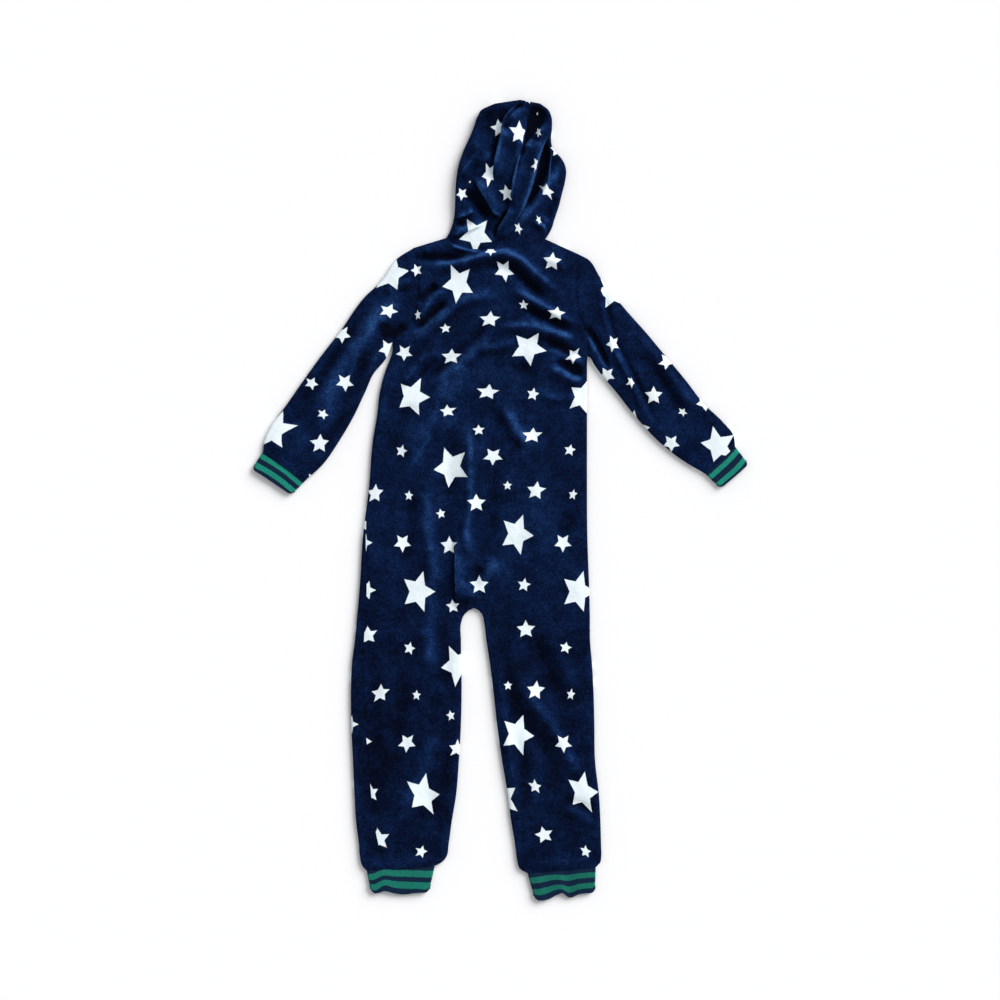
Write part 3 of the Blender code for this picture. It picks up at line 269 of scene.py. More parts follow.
# Bands of painted highlight (or painted shade, below zero): its share, its spread on the left and on the
# right of its course, and the course. Narrow ones run along the crests of folds.
PAINTED_BANDS = (
    (0.7, 1.5, 2.4, ((36, 593), (19, 576), (10, 560), (6, 546), (2, 527), (-3, 508))),
    (0.8, 1.5, 1.5, ((76, 568), (58, 549), (44, 534), (33, 519), (27, 502), (22, 481), (18, 460), (15, 436))),
    (1.0, 1.4, 1.8, ((77, 554), (65, 533), (57, 516), (51, 497), (46, 481), (40, 460), (34, 443), (28, 426))),
    (0.5, 1.4, 1.6, ((78, 531), (75, 510), (73, 489), (72, 474))),
    (0.3, 5, 9, ((97, 497), (78, 481), (57, 451), (44, 430), (28, 413), (0, 394))),
    (0.8, 1.5, 1.5, ((-33, 472), (-25, 460), (-16, 443), (-6, 430), (4, 424), (11, 426))),
    (0.6, 1.4, 1.4, ((11, 428), (2, 413), (-6, 403), (-13, 394))),
    (0.8, 1.4, 1.4, ((52, 414), (60, 413), (65, 409), (71, 396))),
    (0.8, 1.4, 1.4, ((-68, 421), (-60, 424), (-52, 426), (-40, 433))),
    (0.5, 1.4, 1.6, ((-63, 481), (-52, 497), (-41, 511))),
    (-1.3, 8, 7, ((57, 592), (50, 573), (47, 560), (43, 546), (38, 532))),
    (-1.0, 3, 3, ((42, 548), (35, 527), (30, 511), (27, 494))),
    (-0.6, 6, 6, ((75, 542), (67, 515), (61, 495), (55, 475), (48, 455))),
    (0.6, 1.6, 2, ((-84, 391), (-67, 381), (-51, 375), (-32, 371))),
    (0.4, 2, 3, ((-10, 374), (15, 376), (37, 381), (63, 389))),
    (0.35, 6, 6, ((-75, 193), (-91, 166), (-95, 134), (-107, 95), (-140, 35))),
    (0.5, 12, 12, ((-49, 205), (-67, 174), (-83, 146))),
    (0.25, 8, 8, ((-55, 122), (-51, 67), (-47, 4), (-55, -75))),
    (0.4, 9, 9, ((-87, 24), (-103, -4), (-103, -51), (-97, -110), (-103, -170), (-106, -270))),
    (0.35, 8, 8, ((8, 134), (28, 103), (51, 71))),
    (0.3, 9, 9, ((-172, 190), (-180, 130), (-186, 107), (-190, 30))),
    (0.3, 8, 8, ((-8, -82), (-14, -96), (-22, -114))),
    (0.35, 10, 10, ((-97, -351), (-116, -405), (-140, -459), (-155, -486))),
    (0.35, 7, 7, ((34, -285), (61, -316), (88, -351), (108, -390), (123, -413))),
    (0.2, 8, 8, ((54, -378), (52, -421), (54, -459))),
    (0.2, 6, 6, ((-12, -247), (7, -336), (23, -459), (34, -537))),
    (-0.8, 8, 8, ((-178, 268), (-170, 254), (-162, 242), (-156, 226))),
    (-0.25, 24, 24, ((-178, -290), (-172, -400), (-178, -480))),
    (-0.25, 14, 14, ((-66, -370), (-72, -430), (-82, -490))),
    (0.35, 8, 8, ((-202, -538), (-150, -542), (-96, -536))),
    (0.35, 8, 8, ((40, -542), (92, -540), (142, -533))),
    (0.5, 16, 14, ((-140, 322), (-160, 300), (-206, 247), (-235, 209), (-250, 156), (-269, 105))),
    (0.25, 5, 5, ((-178, 275), (-206, 233), (-221, 197), (-233, 165), (-245, 129))),
    (-0.4, 12, 12, ((-205, 290), (-221, 267), (-259, 190), (-290, 155), (-312, 141))),
    (-0.4, 10, 10, ((-190, 240), (-201, 214), (-206, 165), (-230, 130), (-250, 100), (-280, 65))),
    (0.3, 9, 9, ((-286, 100), (-302, 78), (-320, 68))))
BAND_REACH = 2.5        # spreads from its course within which a band is felt
BAND_TAPER = 0.15       # share of a band's length over which each end fades
CREST_FULL = 34.0       # height of a fold at which its painted highlight is full
TROUGH_FULL = 15.0      # depth at which its painted shade is full
FACING_FULL = 1.3       # slope towards the painted light at which its painted highlight is full
SHARP_FULL = 1.6        # curvature of a sharp crest, per mm, at which its painted highlight is full
SHARP_LIMITS = (-0.35, 0.6)     # least and most painted light from curvature: shade in sharp hollows, highlight on sharp crests
SLOPE_STEP = 1.5        # distance over which slope and curvature are measured
PAINTED_LIGHT_FROM = np.array((0.3, 0.95))         # the way in plan from which the painted light falls on slopes
LEG_SHADE = 0.2         # how much painted shade darkens the legs
LEG_SHADE_Y = (-100.0, 120.0)   # where that begins, and how far down it takes to get there
# Sewn seams draw the cloth down in a narrow groove.
SEAM_DIP = 2.2
SEAM_SPREAD = 2.6
SEAM_SHADE = 0.15       # painted shade in the groove, for each mm of its depth
FOLDS = HOOD_FOLDS + BACK_FOLDS + LEG_FOLDS + SLEEVE_FOLDS
RELIEF = 1.38           # how much fuller the folds lie than their listed heights
FOLD_REACH = 3          # spreads from its course within which a fold or a seam is felt
FOLD_TAPER = 0.26       # share of a fold's length over which each end sinks
FOLD_SWELL = (0.16, 9.0)        # how much a fold swells and thins along its length, and how often
# Small uneven waves of each layer: height, size, and a number that sets one field of waves apart.
UPPER_WAVES = ((0.9, 34, 3.0), (0.45, 13, 8.0))
LOWER_WAVES = ((0.9, 40, 21.0), (0.3, 15, 5.0))


# ---------------------------------------------------------------- curves and the outline

def curve(tab, across, along, at):
    """Read one column of a table at places along another, on a smooth curve through its rows."""
    order = np.argsort(tab[along])
    knots = tab[along][order]
    values = tab[across][order]
    slopes = np.gradient(values, knots)
    at = np.clip(np.asarray(at, float), knots[0], knots[-1])
    first = np.clip(np.searchsorted(knots, at) - 1, 0, len(knots) - 2)
    step = knots[first + 1] - knots[first]
    t = (at - knots[first]) / step
    rise = values[first + 1] - values[first]
    start = slopes[first] * step
    end = slopes[first + 1] * step
    bend = 3 * rise - 2 * start - end
    return values[first] + t * start + t ** 2 * bend + t ** 3 * (start + end - 2 * rise)


def smoothstep(t):
    """Rise from 0 to 1 with level ends."""
    t = np.clip(t, 0, 1)
    return t * t * (3 - 2 * t)


def mix(a, b, t):
    """Blend from a to b."""
    return a + (b - a) * t


def path_point(tab, fraction):
    """Point at a fraction of the length of a table's line of x, y points."""
    points = np.stack([tab["x"], tab["y"]], axis=1)
    lengths = np.concatenate(([0], np.cumsum(np.linalg.norm(np.diff(points, axis=0), axis=1))))
    along = {"length": lengths, "x": tab["x"], "y": tab["y"]}
    place = fraction * lengths[-1]
    return np.array([curve(along, "x", "length", place), curve(along, "y", "length", place)])


def side_line(side, count=600):
    """Edge of the body and leg on one side, from the ankle hem up to the armpit."""
    leg = "left_out" if side < 0 else "right_out"
    torso = "left" if side < 0 else "right"
    ys = np.linspace(LEG_HEM_Y[side][0], ARMPIT_Y[side], count)
    xs = np.where(ys < CROTCH_Y, curve(LEGS, leg, "y", ys), curve(TORSO, torso, "y", ys))
    line = np.stack([xs, ys], axis=1)
    line[-1] = path_point(SLEEVE[side]["inner"], 0)
    return line


def inner_leg_line(side):
    """Inside edge of one leg, from the crotch down to the ankle hem."""
    column = "left_in" if side < 0 else "right_in"
    ys = np.concatenate((np.linspace(CROTCH_Y, -190, 120), np.linspace(-190.5, LEG_HEM_Y[side][1], 260)))
    return np.stack([curve(LEGS, column, "y", ys), ys], axis=1)


def sleeve_line(side, edge):
    """Edge of a sleeve from the body to the wrist."""
    return np.array([path_point(SLEEVE[side][edge], f) for f in np.linspace(0, 1, 320)])


def hood_line(side, count=360):
    """Edge of the hood from the neck corner up to the crown."""
    ys = np.linspace(NECK_CORNER[side][1], CROWN_SIDE_Y, count)
    line = np.stack([curve(HOOD, "left" if side < 0 else "right", "y", ys), ys], axis=1)
    line[0] = NECK_CORNER[side]
    return line


def garment_outlines():
    """The turned edges of the garment."""
    over = np.vstack([
        sleeve_line(-1, "outer")[::-1], hood_line(-1), [CROWN], hood_line(1)[::-1],
        sleeve_line(1, "outer")])
    return [
        np.vstack([side_line(-1)[:-1], sleeve_line(-1, "inner")]),
        over,
        np.vstack([sleeve_line(1, "inner")[::-1], side_line(1)[:-1][::-1]]),
        np.vstack([inner_leg_line(1)[::-1], inner_leg_line(-1)[1:]])]


class Outline:
    """Turned edges in plan, which tell how far in a point lies."""

    def __init__(self, lines):
        self.start = np.vstack([line[:-1] for line in lines])
        self.step = np.vstack([np.diff(line, axis=0) for line in lines])

    def distance(self, plan, chunk=3000):
        """Distance from points in plan to the nearest turned edge."""
        return np.concatenate([self.distance_few(plan[k:k + chunk]) for k in range(0, len(plan), chunk)])

    def distance_few(self, plan):
        """The same for a few points at once."""
        low, high = plan.min(axis=0) - EDGE_REACH, plan.max(axis=0) + EDGE_REACH
        near = ((self.start > low) & (self.start < high)).all(axis=1)
        rows = np.flatnonzero(near) if near.any() else np.arange(len(self.start))
        start, step = self.start[rows], self.step[rows]
        away = plan[:, None, :] - start[None]
        t = np.clip((away * step).sum(2) / (step ** 2).sum(1), 0, 1)
        distance = np.linalg.norm(away - t[..., None] * step, axis=2).min(axis=1)
        return np.maximum(distance - EDGE_NEAR, 0)


# ---------------------------------------------------------------- heights

def course_place(plan, course):
    """Signed distance from a course (positive on its left), share of the way along, and way across."""
    plan = np.asarray(plan, float)
    course = np.array(course, float)
    steps = np.diff(course, axis=0)
    lengths = np.linalg.norm(steps, axis=1)
    before = np.concatenate(([0], np.cumsum(lengths)))
    best = np.full(len(plan), np.inf)
    signed = np.zeros(len(plan))
    along = np.zeros(len(plan))
    across = np.zeros((len(plan), 2))
    for start, step, length, done in zip(course[:-1], steps, lengths, before):
        if length == 0:
            continue
        away = plan - start
        t = np.clip(away @ step / length ** 2, 0, 1)
        gap = away - t[:, None] * step
        distance = np.linalg.norm(gap, axis=1)
        closer = distance < best
        turn = step[0] * gap[:, 1] - step[1] * gap[:, 0]
        best[closer] = distance[closer]
        signed[closer] = np.where(turn > 0, distance, -distance)[closer]
        along[closer] = ((done + t * length) / before[-1])[closer]
        across[closer] = np.array([step[1], -step[0]]) / length
    return signed, along, across


def near_rows(plan, course, reach):
    """The points close enough to a course to feel it."""
    course = np.array(course, float)
    low, high = course.min(axis=0) - reach, course.max(axis=0) + reach
    return np.flatnonzero(((plan > low) & (plan < high)).all(axis=1))


def folds_at(plan, folds):
    """Height that the folds add, and how far their crests lean in plan."""
    height = np.zeros(len(plan))
    lean = np.zeros((len(plan), 2))
    for rise, left, right, over, course in folds:
        rows = near_rows(plan, course, FOLD_REACH * max(left, right))
        if not len(rows):
            continue
        signed, along, across = course_place(plan[rows], course)
        taper = smoothstep(np.minimum(along, 1 - along) / FOLD_TAPER)
        taper = taper * (1 + FOLD_SWELL[0] * np.sin(FOLD_SWELL[1] * along + course[0][0]))
        body = np.exp(-(signed / np.where(signed > 0, left, right)) ** 2)
        height[rows] += RELIEF * rise * taper * body
        if over:
            lean[rows] += (over * taper * body)[:, None] * across
    return height, lean


def painted_band_shading(plan):
    """Painted highlight and painted shade from the bands."""
    share = np.zeros(len(plan))
    for amount, left, right, course in PAINTED_BANDS:
        rows = near_rows(plan, course, BAND_REACH * max(left, right))
        if len(rows):
            signed, along, _across = course_place(plan[rows], course)
            body = np.exp(-(signed / np.where(signed > 0, left, right)) ** 2)
            share[rows] += amount * body * smoothstep(np.minimum(along, 1 - along) / BAND_TAPER)
    return share


def painted_fold_shading(plan, here):
    """Painted light and shade, from -1 to 1: lighter on crests, sharp ridges and slopes facing the painted
    light; darker in troughs, sharp hollows and on the legs; with the painted bands added.
    """
    along = SLOPE_STEP * PAINTED_LIGHT_FROM
    aside = along[::-1] * [1, -1]
    ahead, behind, right, left = (folds_at(plan + move, FOLDS)[0] for move in (along, -along, aside, -aside))
    facing = (behind - ahead) / (2 * SLOPE_STEP)
    sharp = (4 * here - ahead - behind - right - left) / SLOPE_STEP ** 2
    level = np.where(here > 0, here / CREST_FULL, here / TROUGH_FULL)
    leg = LEG_SHADE * smoothstep((LEG_SHADE_Y[0] - plan[:, 1]) / LEG_SHADE_Y[1])
    sharp = np.clip(sharp / SHARP_FULL, *SHARP_LIMITS)
    return level + facing / FACING_FULL + sharp - leg + painted_band_shading(plan)


def ripple(plan, size, seed):
    """Small uneven waves of the cloth, from -1 to 1."""
    return np.array([noise.noise(Vector((x / size, y / size, seed))) for x, y in plan.tolist()])


def rippled(height, plan, waves):
    """A height with small uneven waves added to it."""
    for tall, size, seed in waves:
        height = height + tall * ripple(plan, size, seed)
    return height


def laid_height(plan):
    """Height of the upper layer away from the outline, its lean, and its painted light and shade."""
    height = np.full(len(plan), LAID)
    for rise, x, y, spread_x, spread_y in SWELLS:
        height += rise * np.exp(-((plan[:, 0] - x) / spread_x) ** 2 - ((plan[:, 1] - y) / spread_y) ** 2)
    added, lean = folds_at(plan, FOLDS)
    height += rippled(added, plan, UPPER_WAVES)
    return np.maximum(height, LOWEST), lean, painted_fold_shading(plan, added)


def seam_dip(plan, seams):
    """Depth of the grooves along the sewn seams."""
    depth = np.zeros(len(plan))
    for share, course in seams:
        rows = near_rows(plan, course, FOLD_REACH * SEAM_SPREAD)
        if len(rows):
            signed = course_place(plan[rows], course)[0]
            depth[rows] = np.maximum(depth[rows], share * np.exp(-(signed / SEAM_SPREAD) ** 2))
    return SEAM_DIP * depth


def roll_radius(y):
    """Radius of the turned edge: fuller round the hood."""
    return EDGE_ROLL + (HOOD_ROLL - EDGE_ROLL) * smoothstep((np.asarray(y) - HOOD_ROLL_Y[0]) / HOOD_ROLL_Y[1])


def lift(plan, upper, outline, roll=None, laid=None):
    """Raise plan points to a layer. Returns the outer points of the cloth and their painted light and shade.
    """
    plan = np.asarray(plan, float).reshape(-1, 2)
    distance = outline.distance(plan)
    roll = roll_radius(plan[:, 1]) if roll is None else np.full(len(plan), roll)
    lean = 1 - np.minimum(distance / roll, 1)
    rise = np.sqrt(1 - lean ** 2)
    fade = smoothstep(distance / FOLD_FADE)
    placed = plan.copy()
    painted_shading = np.zeros(len(plan))
    if upper:
        if laid is None:
            tall, shift, painted_shading = laid_height(plan)
            placed += shift * fade[:, None]
            dip = seam_dip(plan, SEAMS) * smoothstep(distance / roll)
            tall = tall - dip
            # Painted shade in the seam grooves; all the painted light and shade fade out towards the turned
            # edges.
            painted_shading = (painted_shading - SEAM_SHADE * dip) * fade
        else:
            tall = np.full(len(plan), laid)
        z = roll * (1 + rise) + (tall - 2 * roll) * fade
    else:
        z = roll * (1 - rise)
        if laid is None:
            z = z + fade * np.maximum(rippled(0, plan, LOWER_WAVES), 0)
    return np.column_stack([placed, z]), painted_shading


# ---------------------------------------------------------------- plan grids

def crowded(roll, steps=TURN_STEPS):
    """Distances from a turned edge that follow its quarter turn evenly."""
    return roll * (1 - np.cos(np.linspace(0, math.pi / 2, steps + 1)))


def spread(width, outer, inner, count, roll):
    """Offsets across a strip, where outer and inner crowd its end columns into the turned edges."""
    even = np.linspace(0, width, count)
    turn = np.minimum(crowded(roll), TURN_SHARE * width * np.linspace(0, 1, TURN_STEPS + 1))
    n = len(turn)
    first = mix(even[:n], turn, outer)
    last = mix(even[:n], turn, inner)
    middle = np.linspace(first[-1], width - last[-1], count - 2 * n + 2)[1:-1]
    return np.concatenate((first, middle, width - last[::-1]))


def strip_row(outer, inner, over, outer_roll, inner_roll, count):
    """One row of plan points from the outer to the inner point of a strip."""
    outer = np.asarray(outer, float)
    inner = np.asarray(inner, float)
    width = np.linalg.norm(inner - outer)
    crowd = outer_roll * (1 - smoothstep(over / (2 * EDGE_ROLL)))
    offsets = over + spread(width - over, crowd, inner_roll, count, EDGE_ROLL)
    return outer + np.outer(offsets / width, inner - outer)


def zip_half_gap(y):
    """Half of the gap between the fronts: a closed seam below the zip, open beside it."""
    return ZIP_HALF_GAP * np.clip((y - ZIP_END_Y + 12) / 10, 0, 1)


def centre_x(y):
    """Centre line of the back, and of the zip."""
    return float(curve(TORSO, "centre", "y", y))


def rolled_over(side, y):
    """Width of the front that has rolled on to the top at the outer edge."""
    return float(np.interp(y, SIDE_ROLL["y"], SIDE_ROLL["over"])) if side < 0 else 0.0


def leg_row(side, down):
    """Ends of a row across one leg, at a distance below the crotch."""
    share = down / (CROTCH_Y - min(LEG_HEM_Y[side]))
    outer_y = CROTCH_Y - share * (CROTCH_Y - LEG_HEM_Y[side][0])
    inner_y = CROTCH_Y - share * (CROTCH_Y - LEG_HEM_Y[side][1])
    names = ("left_out", "left_in") if side < 0 else ("right_out", "right_in")
    outer = (float(curve(LEGS, names[0], "y", outer_y)), outer_y)
    inner = (float(curve(LEGS, names[1], "y", inner_y)), inner_y)
    return outer, inner


def torso_row(side, up, front):
    """Ends of a row across one half of the torso, at a share of the way from crotch to armpit."""
    outer_y = mix(CROTCH_Y, ARMPIT_Y[side], up)
    inner_y = mix(CROTCH_Y, YOKE_Y, up)
    outer = (float(curve(TORSO, "left" if side < 0 else "right", "y", outer_y)), outer_y)
    if up == 1:
        outer = tuple(path_point(SLEEVE[side]["inner"], 0))
    gap = side * zip_half_gap(inner_y) if front else 0
    return outer, (centre_x(inner_y) + gap, inner_y)


def neck_points(side, front, count):
    """Plan points along one half of the neck seam, from the corner to the centre."""
    corner = np.array(NECK_CORNER[side])
    end_y = FRONT_NECK_Y if front else BACK_NECK_Y
    end_x = centre_x(end_y) + (side * ZIP_HALF_GAP if front else 0)
    turn = crowded(EDGE_ROLL)
    rest = np.linspace(corner[0] - side * EDGE_ROLL, end_x, count - len(turn) + 1)[1:]
    xs = np.concatenate((corner[0] - side * turn, rest))
    if front:
        share = (xs - corner[0]) / (end_x - corner[0])
        ys = corner[1] - (corner[1] - end_y) * (1 - (1 - share) ** FRONT_NECK_BOW)
    else:
        ys = np.interp(xs, BACK_NECK["x"], BACK_NECK["y"])
    ys[0] = corner[1]
    return np.stack([xs, ys], axis=1)


def armhole_steps(pitch):
    """Shares of the armhole's height at which rows of the body meet it."""
    tall = ARMHOLE_TOP[-1][1] - ARMPIT_Y[-1]
    turn = crowded(EDGE_ROLL) / tall
    middle = np.linspace(turn[-1], 1 - turn[-1], int((tall - 2 * EDGE_ROLL) / pitch))[1:-1]
    return np.concatenate((turn, middle, 1 - turn[::-1]))


def armhole_point(side, up):
    """Plan point on the armhole seam, at a share of its height above the armpit."""
    if up == 0:
        return path_point(SLEEVE[side]["inner"], 0)
    if up == 1:
        return np.array(ARMHOLE_TOP[side])
    y = mix(ARMPIT_Y[side], ARMHOLE_TOP[side][1], up)
    return np.array([float(np.interp(y, ARMHOLE[side]["y"], ARMHOLE[side]["x"])), y])


def yoke_row(side, up, front, base, neck_count):
    """Row of the yoke, from the armpit level, where it is straight, to the shoulder and neck."""
    count = len(base)
    neck = neck_points(side, front, neck_count)
    shoulder = np.linspace(ARMHOLE_TOP[side], neck[0], count - len(neck) + 1)[:-1]
    top = np.vstack([shoulder, neck])
    edge = armhole_point(side, up)
    inner_y = mix(base[-1, 1], top[-1, 1], up)
    inner_x = centre_x(inner_y) + (side * ZIP_HALF_GAP if front else 0)
    low = (base[:, 0] - base[0, 0]) / (base[-1, 0] - base[0, 0])
    even = np.linspace(0, 1, count)
    high = (top[:, 0] - top[0, 0]) / (top[-1, 0] - top[0, 0])
    share = mix(mix(low, even, min(up / ROW_EVEN, 1)), high, up ** 1.5) if up < 1 else high
    return np.stack([mix(edge[0], inner_x, share), mix(base[:, 1], top[:, 1], up)], axis=1)


def body_half(side, front, pitch):
    """Plan grid of one half of the body, from the ankle hem to the neck."""
    count = int(HALF_WIDTH / pitch)
    total = CROTCH_Y - min(LEG_HEM_Y[side])
    turn = crowded(EDGE_ROLL)
    legs = np.linspace(total, EDGE_ROLL, int((total - EDGE_ROLL) / pitch))
    downs = np.concatenate((legs[:-1], turn[::-1]))
    rows = []
    for down in downs:
        outer, inner = leg_row(side, down)
        over = rolled_over(side, outer[1])
        rows.append(strip_row(outer, inner, 0 if front else over, 1, 1, count))
    torso = YOKE_Y - CROTCH_Y
    heights = np.linspace(EDGE_ROLL, torso, int((torso - EDGE_ROLL) / pitch))
    for height in np.concatenate((turn[1:], heights[1:])):
        outer, inner = torso_row(side, height / torso, front)
        over = rolled_over(side, outer[1])
        centre_roll = 1 - smoothstep((height - EDGE_ROLL) / CROTCH_FADE)
        rows.append(strip_row(outer, inner, 0 if front else over, 1, centre_roll, count))
    base = rows[-1]
    neck_count = int(NECK_SHARE * count)
    rows += [yoke_row(side, up, front, base, neck_count) for up in armhole_steps(pitch)[1:]]
    return np.array(rows)


def side_strip(pitch):
    """Plan grid of the strip of the left front that has rolled on to the top along the leg."""
    rows = []
    for edge, seam in zip(body_half(-1, True, pitch)[:, 0], body_half(-1, False, pitch)[:, 0]):
        width = np.linalg.norm(seam - edge)
        if width < 0.01:
            rows.append(np.array([edge] * (TURN_STEPS + 1 + STRIP_STEPS)))
            break
        turn = min(EDGE_ROLL, 0.7 * width)
        offsets = np.concatenate((crowded(turn), np.linspace(turn, width, STRIP_STEPS + 1)[1:]))
        rows.append(edge + np.outer(offsets / width, seam - edge))
    return np.array(rows)


def sleeve_plan(side, pitch):
    """Plan grid of a sleeve: rows from the armhole to the wrist, columns from the outer edge."""
    ups = armhole_steps(pitch)[::-1]
    armhole = np.array([armhole_point(side, up) for up in ups])
    straight = mix(armhole[0], armhole[-1], (1 - ups)[:, None])
    rows = []
    for k, along in enumerate(np.linspace(0, 1, int(SLEEVE_LONG / pitch))):
        outer = path_point(SLEEVE[side]["outer"], along)
        inner = path_point(SLEEVE[side]["inner"], along)
        width = np.linalg.norm(inner - outer)
        even = spread(width, 1, 1, len(ups), EDGE_ROLL) / width
        keep = max(0.0, 1 - along / ARMHOLE_FADE) ** 1.5
        share = mix(even, 1 - ups, keep)
        inside = 1 if k == 0 else 4 * share * (1 - share)
        bow = (armhole - straight) * np.reshape(inside, (-1, 1))
        rows.append(mix(outer, inner, share[:, None]) + keep * bow)
    return np.array(rows)


def hood_row(side, up, front, count):
    """Row of one layer of a hood half, from the turned edge to the centre seam or the face edge."""
    neck = neck_points(side, front, count)
    if up == 0:
        return neck
    edge_y = mix(NECK_CORNER[side][1], CROWN_SIDE_Y, up)
    edge = np.array([float(curve(HOOD, "left" if side < 0 else "right", "y", edge_y)), edge_y])
    if front:
        open_up = math.sin(math.pi * min(up / FACE_TOP, 1)) ** 0.7 if up < FACE_TOP else 0.0
        closing = ZIP_HALF_GAP * float(1 - smoothstep((up - FACE_CLOSE[0]) / FACE_CLOSE[1]))
        half = closing + (FACE_HALF_WIDTH - ZIP_HALF_GAP) * open_up
        middle = mix(np.array([centre_x(FRONT_NECK_Y), FRONT_NECK_Y]), np.array(CROWN), up)
        end = middle + [side * half, 0]
    else:
        end_y = mix(BACK_NECK_Y, CROWN[1], up)
        end = np.array([float(curve(HOOD_SEAM, "x", "y", end_y)), end_y])
    start = neck[0]
    along = (neck[:, 0] - start[0]) / (neck[-1, 0] - start[0])
    width = np.linalg.norm(end - edge)
    turned = spread(width, 1, 0, count, float(roll_radius(edge_y))) / width
    share = mix(along, turned, min(up / ROW_EVEN, 1))
    bow = neck - (start + np.outer(along, neck[-1] - start))
    return edge + np.outer(share, end - edge) + bow * (1 - up) ** 3


def hood_plan(side, front, pitch):
    """Plan grid of one layer of a hood half."""
    turn = crowded(0.055, 8)
    columns, rows = (int(span / pitch) for span in HOOD_SPAN)
    ups = np.concatenate(([0, 0.004, 0.012], np.linspace(0.022, 1 - turn[-1], rows), 1 - turn[-2::-1]))
    return np.array([hood_row(side, up, front, columns) for up in ups])


def seam_courses():
    """The sewn seams of the upper layer, each with the share of the full groove that it draws."""
    neck = [neck_points(-1, False, 20), neck_points(1, False, 20)[::-1]]
    courses = [(1.0, np.vstack([neck[0][2:], neck[1][:-2]]))]
    for side in (-1, 1):
        courses.append((0.6, np.array([armhole_point(side, up) for up in np.linspace(0.03, 0.97, 24)])))
    courses.append((0.2, side_strip(12)[:, -1]))
    ys = np.linspace(380, 590, 14)
    courses.append((0.35, np.stack([curve(HOOD_SEAM, "x", "y", ys), ys], axis=1)))
    return courses


SEAMS = seam_courses()


# ---------------------------------------------------------------- the print

TILE = (240.0, 300.0)
# One repeat of the star print: across and down in mm, outer radius, turn of one tip, narrowing.
STARS_DOWN = (
    (0, 0, 32, 0, 0.8), (54, 111, 32, 43, 0.82), (148, 214, 31.5, -4, 0.8),
    (217, 227, 14, 270, 0.95), (47, 231, 14, 90, 0.95), (88, 167, 14, 90, 1), (92, 290, 14, 90, 1),
    (161, 57, 14, 90, 1), (175, 149, 14, 84, 0.95), (112, 96, 14, 270, 1), (159, 290, 10.4, 80, 0.95),
    (52, 22, 10.5, 95, 1), (35, 183, 7.6, 100, 0.95), (227, 156, 7.8, 85, 0.85), (216, 89, 9.6, 75, 0.95),
    (134, 141, 7, 90, 0.95), (90, 56, 8.5, 96, 1))
BODY_STARS = tuple((across, -down, *look) for across, down, *look in STARS_DOWN)
HOOD_TILE = (420.0, 420.0)
# The hood's own stretch of the print, by x and y.
HOOD_STARS = (
    (-1, 557, 13.5, 100, 1.0), (28, 549, 18, 84, 0.72), (-16, 487, 19, 262, 0.58), (-57, 458, 10, 262, 0.9),
    (10, 458.5, 12.5, 88, 0.85), (50.7, 500, 12, 262, 0.8), (70, 462, 12.5, 135, 0.85),
    (-36, 397, 28, 50, 0.92), (27.5, 406, 8.8, 64, 0.75), (58, 419, 7.5, 255, 0.6),
    (43, 600, 7, 70, 0.8), (86, 524, 11, 90, 1.0),
    (58, 550, 8, 40, 0.5), (56, 579, 2.4, 70, 0.45), (-45, 476, 1.6, 70, 1.0),
    (-50, 330, 12, 80, 1.0), (10, 300, 27, 20, 1.0), (60, 350, 9, 90, 1.0), (120, 580, 27, 75, 1.0),
    (150, 470, 13, 90, 1.0), (-110, 540, 14, 85, 1.0), (-120, 430, 27, 50, 1.0), (-80, 610, 9, 95, 1.0),
    (120, 390, 10, 80, 1.0))
# Cloth hidden under sharp folds: its width in mm, and the fold's course from above.
HOOD_TUCKS = (
    (9.0, ((32, 604), (21, 586), (9, 571), (5, 560), (3, 545), (0, 533), (-5, 509), (-8, 488), (-9, 440))),
    (9.0, ((37, 604), (38, 570), (37.5, 555), (33, 535), (28, 516), (22, 490), (14, 441))),
    (12.0, ((72, 546), (65, 533), (57, 516), (51, 497), (46, 481), (40, 460), (34, 443), (14, 402))))
# Where the cloth has slid under its folds: x, y, reach in x and in y, and the print's slide in x and y.
PRINT_SLIDES = (
    (10, 310, 160, 110, 18, -24), (-95, 235, 60, 75, -5, -10), (-66, 335, 45, 40, -9, -6),
    (90, 268, 60, 60, 15, -16), (95, 185, 60, 45, 7, -9), (-5, 175, 45, 40, 12, -7),
    (-15, 285, 50, 50, 5, -3), (-133, 150, 42, 34, -9, -5), (-80, 134, 26, 26, -7, -4),
    (50, 118, 50, 50, 10, -11), (-150, 225, 25, 35, 2, -6), (110, 60, 50, 60, 11, 3),
    (-80, 50, 45, 45, -5, -3), (-130, -300, 90, 90, 11, 1), (-142, -215, 35, 35, 7, 4),
    (-74, -325, 30, 30, 7, -3), (100, -240, 50, 50, 6, 6), (50, -440, 50, 50, 14, -2),
    (95, -545, 130, 75, 40, 0), (-120, -520, 60, 60, 27, 0), (-200, -180, 25, 260, 2, -9),
    (-116, -445, 45, 45, 2, -5), (-70, -368, 22, 28, 8, -4))
LEFT_SLEEVE_SLIDES = ((-167, 283, 35, 35, 0, 7), (-268, 105, 50, 50, 8, 4), (-330, 98, 35, 30, -9, 0))
RIGHT_SLEEVE_SLIDES = (
    (165, 250, 40, 40, 12, 12), (160, 310, 30, 30, 16, 0), (195, 180, 30, 30, 0, 8),
    (255, 140, 50, 50, -3, 0), (324, 81, 40, 40, -6, -6), (210, 262, 25, 25, 9, 10),
    (306, 146, 22, 22, -6, -6), (244, 210, 26, 26, 9, -4))
SLEEVE_TUCKS = (
    (12.0, ((148, 345), (150, 327), (155, 304), (159, 276), (175, 225), (204, 172), (214, 157), (240, 90))),)
TUCK_EDGE = (2.0, 2.5)  # how far before a fold its hidden cloth begins, and over how much it sets in
